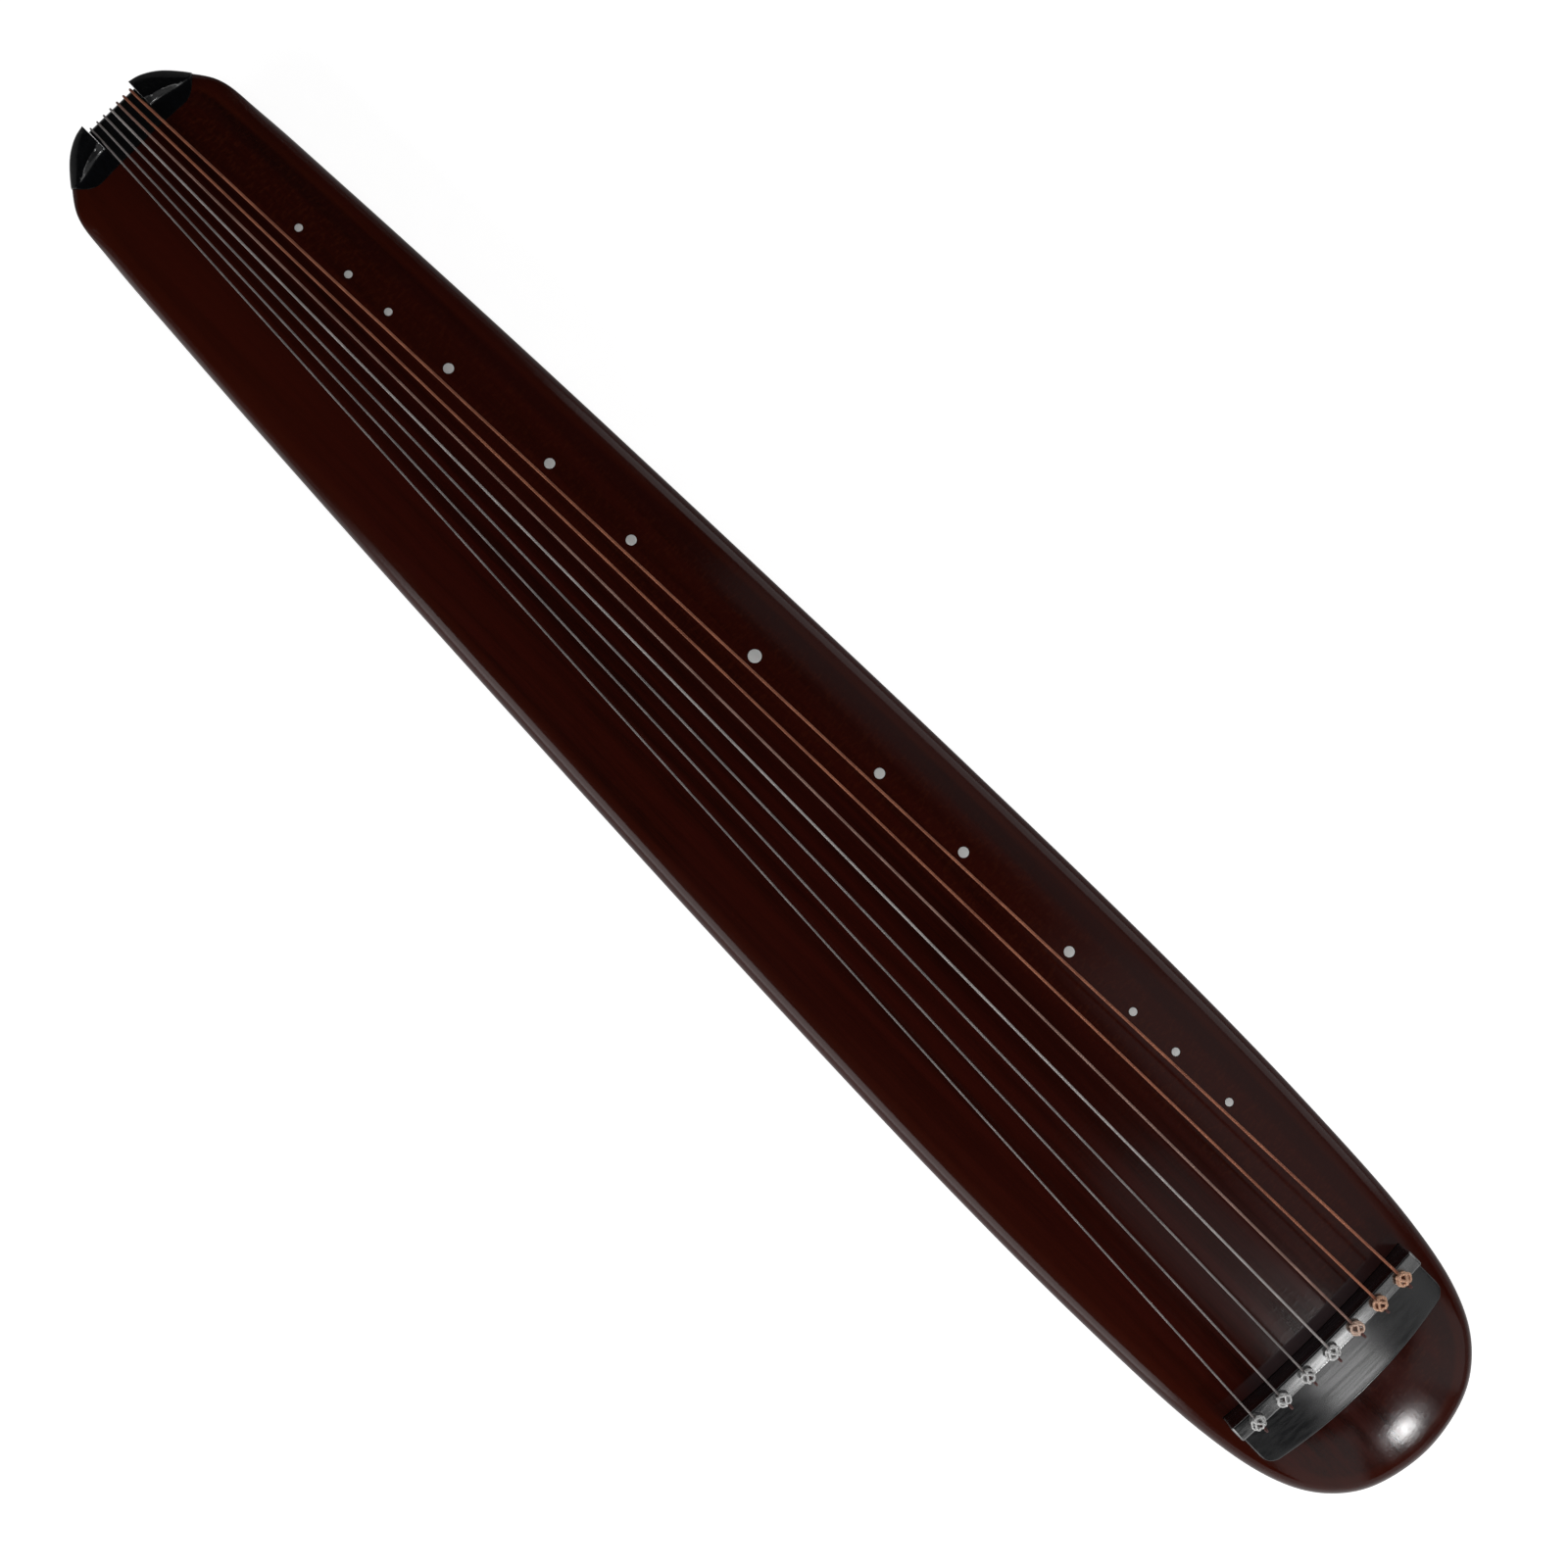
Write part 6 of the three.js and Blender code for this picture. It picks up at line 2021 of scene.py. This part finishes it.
@dataclass
class Stand:
    """Goose feet with their blocks, peg guards, rims of the sound holes, and the two posts."""

    finishes: Finishes
    facets: int = 8
    facet_depth: float = 0.05
    facet_base: float = 0.0026
    facet_head: float = 0.002
    tenon_width: float = 0.012
    tenon_seat: float = 0.001
    mortise_clear: float = 0.05
    guard_sides: int = 64
    guard_levels: tuple[Row, ...] = (
        (0.0, 0.0048), (0.0003, 0.0043), (0.0009, 0.0040), (0.004, 0.0029), (0.009, 0.0017), (0.014, 0.0008),
        (0.020, 0.0002),
    )
    foot_base: tuple[Row, ...] = (
        (0.0138, 0), (0.0146, 0.0003), (0.0150, 0.0009), (0.0150, 0.0015), (0.0143, 0.0021), (0.0120, 0.0026),
        (0.0112, 0.0034), (0.0110, 0.0050),
    )
    foot_head: tuple[Row, ...] = (
        (0.0110, 0.0046), (0.0112, 0.0030), (0.0120, 0.0018), (0.0128, 0.0011), (0.0130, 0.0004), (0.0130, 0),
    )
    rim_width: float = 0.003
    rim_corner: float = 0.005
    rim_ease: float = 0.0006
    rim_least_corner: float = 0.0012
    post_ease: float = 0.0005
    square_ease: float = 0.0007
    block_ease: float = 0.0008

    @classmethod
    def tenon(cls, side: Side) -> tuple[Vector, Vector]:
        """Lowest and highest corner of a foot's square tenon.

        Args:
            side: Side of the foot.

        Returns:
            The two corners.
        """
        foot = f"goose_foot_{side.word}"
        x, y = middle(foot)
        half, floor = cls.tenon_width / 2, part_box("bottom_board")[0].z - OVERRUN
        return Vector((x - half, y - half, floor)), Vector((x + half, y + half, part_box(foot)[1].z))

    def build_foot(self, side: Side) -> None:
        """Builds one goose foot with faceted head and base.

        Args:
            side: Side that the foot is on.
        """
        name, black = f"goose_foot_{side.word}", self.finishes.black
        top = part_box("bottom_board")[0].z - FIT_GAP
        profile = [*self.foot_base, *((radius, top - down) for radius, down in self.foot_head)]

        def faceted(angle: float, height: float) -> float:
            """Share of the radius that the facets leave on the base and the head."""
            away = min(height / self.facet_base, max(0.0, (top - height)) / self.facet_head)
            return scallop(angle, self.facets, self.facet_depth, max(0.0, 1 - away ** 2))

        foot = turned(f"{name}_turned", profile, middle(name), black, 64, faceted)
        low, high = self.tenon(side)
        tenon = block("tenon", (low.x, low.y, top - self.tenon_seat), high, black)
        made = foot.modifiers.new("tenon", "BOOLEAN")
        made.operation, made.solver, made.object = "UNION", "EXACT", tenon
        settle(foot)
        bpy.data.objects.remove(tenon)
        place(foot, Slot.BLACK_WOOD, name, crease=TURNED_CREASE)

    def build_guard(self, side: Side) -> None:
        """Builds one peg guard: a rounded block that tapers to the floor.

        Args:
            side: Side that the guard is on.
        """
        name = f"peg_guard_{side.word}"
        low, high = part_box(name)
        x, y = middle(name)
        half_x, half_y, top = (high.x - low.x) / 2, (high.y - low.y) / 2, high.z
        angles = math.tau * (np.arange(self.guard_sides) + 0.5) / self.guard_sides
        cos, sin = np.cos(angles), np.sin(angles)
        sections = []
        for z, shrink in (*self.guard_levels, (top - 0.0004, 0.0), (top, 0.0003)):
            px = (half_x - shrink / 2) * np.sign(cos) * np.abs(cos) ** 0.5
            py = (half_y - shrink / 4) * np.sign(sin) * np.abs(sin) ** 0.5
            sections.append(np.column_stack([x + px, y + py, np.full(len(angles), z)]))
        guard = loft(f"{name}_rounded", sections, self.finishes.black)
        place(guard, Slot.BLACK_WOOD, name, crease=CUT_CREASE)

    def build_rim(self, node: str) -> None:
        """Builds the lining of one sound hole, with eased lips.

        Args:
            node: Node that it stands for.
        """
        low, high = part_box(node)
        width, ease = self.rim_width, self.rim_ease
        levels = [(0.0, low.z + ease), (0.0003, low.z), (width - ease, low.z), (width - FIT_GAP, low.z + ease),
                  (width - FIT_GAP, high.z), (0.0, high.z)]
        rings = []
        for grow, z in levels:
            outline = rounded_rectangle(low.x + grow, high.x - grow, low.y + grow, high.y - grow,
                                        max(self.rim_corner - grow, self.rim_least_corner))
            rings.append(np.column_stack([outline, np.full(len(outline), z)]))
        faces = ring_faces(len(rings), len(rings[0]), closed=True)
        rim = solid(f"{node}_lining", np.concatenate(rings), faces, self.finishes.black)
        place(rim, Slot.BLACK_WOOD, node, crease=CUT_CREASE)

    def build_post(self) -> None:
        """Builds the round post, with eased ends."""
        low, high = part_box("heaven_post")
        radius, ease = (high.x - low.x) / 2, self.post_ease
        profile = [(radius - ease, low.z), (radius, low.z + ease), (radius, high.z - ease), (radius - ease, high.z)]
        post = turned("heaven_post_turned", profile, middle("heaven_post"), self.finishes.bare)
        place(post, Slot.BARE_WOOD, "heaven_post", crease=TURNED_CREASE)

    def build_planed(self, node: str, ease: float, cutters: Sequence[Piece] = ()) -> None:
        """Builds a planed block of bare wood with eased edges.

        Args:
            node: Node that it stands for.
            ease: Width of the rounding.
            cutters: What is cut out of it.
        """
        planed = block(f"{node}_planed", *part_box(node), self.finishes.bare)
        bevel(planed, ease)
        if cutters:
            carve(planed, cutters)
        place(planed, Slot.BARE_WOOD, node, crease=TURNED_CREASE)

    def build(self) -> None:
        """Builds everything under the body and inside it."""
        for side in Side:
            self.build_foot(side)
            self.build_guard(side)
        for node in SOUND_HOLE_RIMS:
            self.build_rim(node)
        self.build_post()
        self.build_planed("earth_post", self.square_ease)
        for side in Side:
            box = self.tenon(side)
            mortise = well("mortise", box, box[0].z, box[1].z + self.mortise_clear, self.finishes.bare)
            self.build_planed(f"foot_block_{side.word}", self.block_ease, [mortise])


@dataclass(frozen=True)
class Lamp:
    """A soft rectangular lamp that looks at one place."""

    name: str
    place: tuple[float, float, float]
    look_at: tuple[float, float, float]
    width: float
    height: float
    radiance: float

    def build(self) -> None:
        """Makes the lamp; its power follows from its radiance and its area."""
        data = bpy.data.lights.new(self.name, "AREA")
        data.shape, data.size, data.size_y = "RECTANGLE", self.width, self.height
        data.energy = self.radiance * math.pi * self.width * self.height
        lamp = link(self.name, data)
        away = Vector(self.place) - Vector(self.look_at)
        lamp.matrix_world = Matrix.Translation(self.place) @ away.to_track_quat("Z", "Y").to_matrix().to_4x4()
        lamp.visible_camera = False


@dataclass(frozen=True)
class Studio:
    """Camera, pale floor and soft lamps."""

    camera_place: tuple[float, float, float] = (0.072, -0.0097, 1.087)
    camera_degrees: tuple[float, float, float] = (-0.82, -2.68, -45.52)
    lens: float = 36.0
    sensor: float = 36.0
    floor_radius: float = 3.6
    floor_sides: int = 96
    wall_height: float = 1.5
    floor_glow: float = 0.88
    wall_glow: float = 0.9
    glossy_share: float = 0.5
    glossy_share_stud_side: float = 0.05
    glossy_share_tail: float = 0.15
    world_level: float = 0.012
    lamps: tuple[Lamp, ...] = (
        Lamp("bridge_box", (1.19, 0.005, 1.35), (0.52, 0.0, 0.08), 0.38, 0.18, 4.5),
        Lamp("dome_box", (2.08, 0.005, 1.35), (0.58, 0.0, 0.07), 0.16, 0.14, 65.0),
        Lamp("dome_stud_side_box", (2.0, 0.75, 1.35), (0.58, 0.0, 0.07), 0.8, 1.0, 0.6),
        Lamp("dome_player_side_box", (2.0, -0.75, 1.35), (0.58, 0.0, 0.07), 0.8, 1.0, 0.6),
        Lamp("shoulder_box", (0.88, 0.62, 1.35), (0.68, 0.05, 0.08), 0.75, 0.65, 0.36),
        Lamp("long_shoulder_box", (0.08, 0.85, 1.35), (0.08, 0.1, 0.08), 0.95, 0.35, 0.22),
        Lamp("sheen_box", (0.93, -0.06, 1.35), (0.43, -0.01, 0.08), 0.4, 0.42, 0.35),
        Lamp("stud_side_box", (0.25, 2.3, 1.25), (0.25, 0.0, 0.08), 2.9, 1.9, 0.9),
        Lamp("player_side_box", (0.25, -2.3, 1.25), (0.25, 0.0, 0.08), 2.9, 1.9, 2.0),
    )

    def build_camera(self) -> None:
        """Sets the camera at the photograph's angle."""
        data = bpy.data.cameras.new("camera")
        data.lens, data.sensor_width, data.sensor_fit = self.lens, self.sensor, "AUTO"
        camera = link("camera", data)
        tilt_x, tilt_y, turn_z = (math.radians(d) for d in self.camera_degrees)
        to_camera = Matrix.Rotation(turn_z, 4, "Z") @ Matrix.Rotation(tilt_x, 4, "X") @ Matrix.Rotation(tilt_y, 4, "Y")
        camera.matrix_world = Matrix.Translation(self.camera_place) @ to_camera.transposed()
        bpy.context.scene.camera = camera

    def _stage_material(self, name: str, glow: float) -> Finish:
        """Pale matt material that shows a little brighter to the camera, and nothing from behind.

        Args:
            name: Name of the material.
            glow: Strength of its own light.

        Returns:
            The material.
        """
        data = bpy.data.materials.new(name)
        data.use_nodes = True
        w = Wiring(data.node_tree)
        data.node_tree.nodes.remove(data.node_tree.nodes["Principled BSDF"])
        rays = w.node("ShaderNodeLightPath").outputs
        place_of = w.node("ShaderNodeTexCoord").outputs["Object"]
        x, y, _ = w.split(place_of)
        by_side = w.ramp(y, 0.0, 0.25, self.glossy_share, self.glossy_share_stud_side)
        mirrored = w.times(rays["Is Glossy Ray"], by_side, w.ramp(x, -2.0, -1.0, self.glossy_share_tail, 1.0))
        direct = w.math("MAXIMUM", rays["Is Camera Ray"], rays["Is Transmission Ray"])
        seen = w.math("MAXIMUM", direct, mirrored)
        paper = w.mix(w.ramp(w.noise(place_of, 40.0, 4.0), 0.3, 0.7), tone(204, 204, 204), tone(208, 208, 208))
        matt = w.node("ShaderNodeBsdfDiffuse", {"Color": paper})
        bright = w.node("ShaderNodeEmission", {"Color": (1, 1, 1, 1), "Strength": w.times(seen, glow)})
        both = w.node("ShaderNodeAddShader", {0: matt.outputs[0], 1: bright.outputs[0]})
        behind = w.node("ShaderNodeNewGeometry").outputs["Backfacing"]
        clear = w.node("ShaderNodeBsdfTransparent")
        shown = w.node("ShaderNodeMixShader", {0: behind, 1: both.outputs[0], 2: clear.outputs[0]})
        w.feed(data.node_tree.nodes["Material Output"].inputs["Surface"], shown.outputs[0])
        return data

    def build_stage(self) -> None:
        """Makes the floor and the low round wall."""
        sides = self.floor_sides
        angles = math.tau * np.arange(sides) / sides
        circle = np.column_stack([np.cos(angles), np.sin(angles)]) * self.floor_radius
        floor = bpy.data.meshes.new("floor")
        floor.from_pydata([(*p, 0.0) for p in circle], [], [tuple(range(sides))])
        wall = bpy.data.meshes.new("wall")
        rings = [(*p, z) for z in (0.0, self.wall_height) for p in circle]
        wall.from_pydata(rings, [], [face[::-1] for face in ring_faces(2, sides)])
        for mesh, glow in ((floor, self.floor_glow), (wall, self.wall_glow)):
            mesh.materials.append(self._stage_material(mesh.name + "_paper", glow))
            link(mesh.name, mesh)

    def build_light(self) -> None:
        """Hangs soft boxes past the head and along each side, and sets the world behind them."""
        for lamp in self.lamps:
            lamp.build()
        world = bpy.data.worlds.new("studio")
        world.use_nodes = True
        world.node_tree.nodes["Background"].inputs["Color"].default_value = (1, 1, 1, 1)
        w = Wiring(world.node_tree)
        camera_sees = w.node("ShaderNodeLightPath").outputs["Is Camera Ray"]
        level = w.math("MULTIPLY_ADD", camera_sees, 1 - self.world_level, self.world_level)
        w.feed(world.node_tree.nodes["Background"].inputs["Strength"], level)
        bpy.context.scene.world = world
        bpy.context.scene.view_settings.view_transform = "Standard"

    def build(self) -> None:
        """Builds the whole studio."""
        self.build_camera()
        self.build_stage()
        self.build_light()


def main() -> None:
    """Builds the studio and every sub-assembly in order."""
    Studio().build()
    low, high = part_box("soundboard")
    shape = BodyShape(length=high.x - low.x, width=high.y - low.y, stand=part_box("bottom_board")[0].z)
    finishes = Finishes.build()
    growers = Growers()
    head, tail = Head(shape, finishes), Tail(shape, finishes)
    boards = Boards(shape, finishes)
    boards.soundboard(tail, head)
    boards.bottom_board()
    head.build()
    tail.build()
    Studs(shape, finishes, growers).build()
    Strings(head, tail, finishes, growers).build()
    Pegs(finishes, growers).build()
    Stand(finishes).build()


if __name__ == "__main__":
    main()
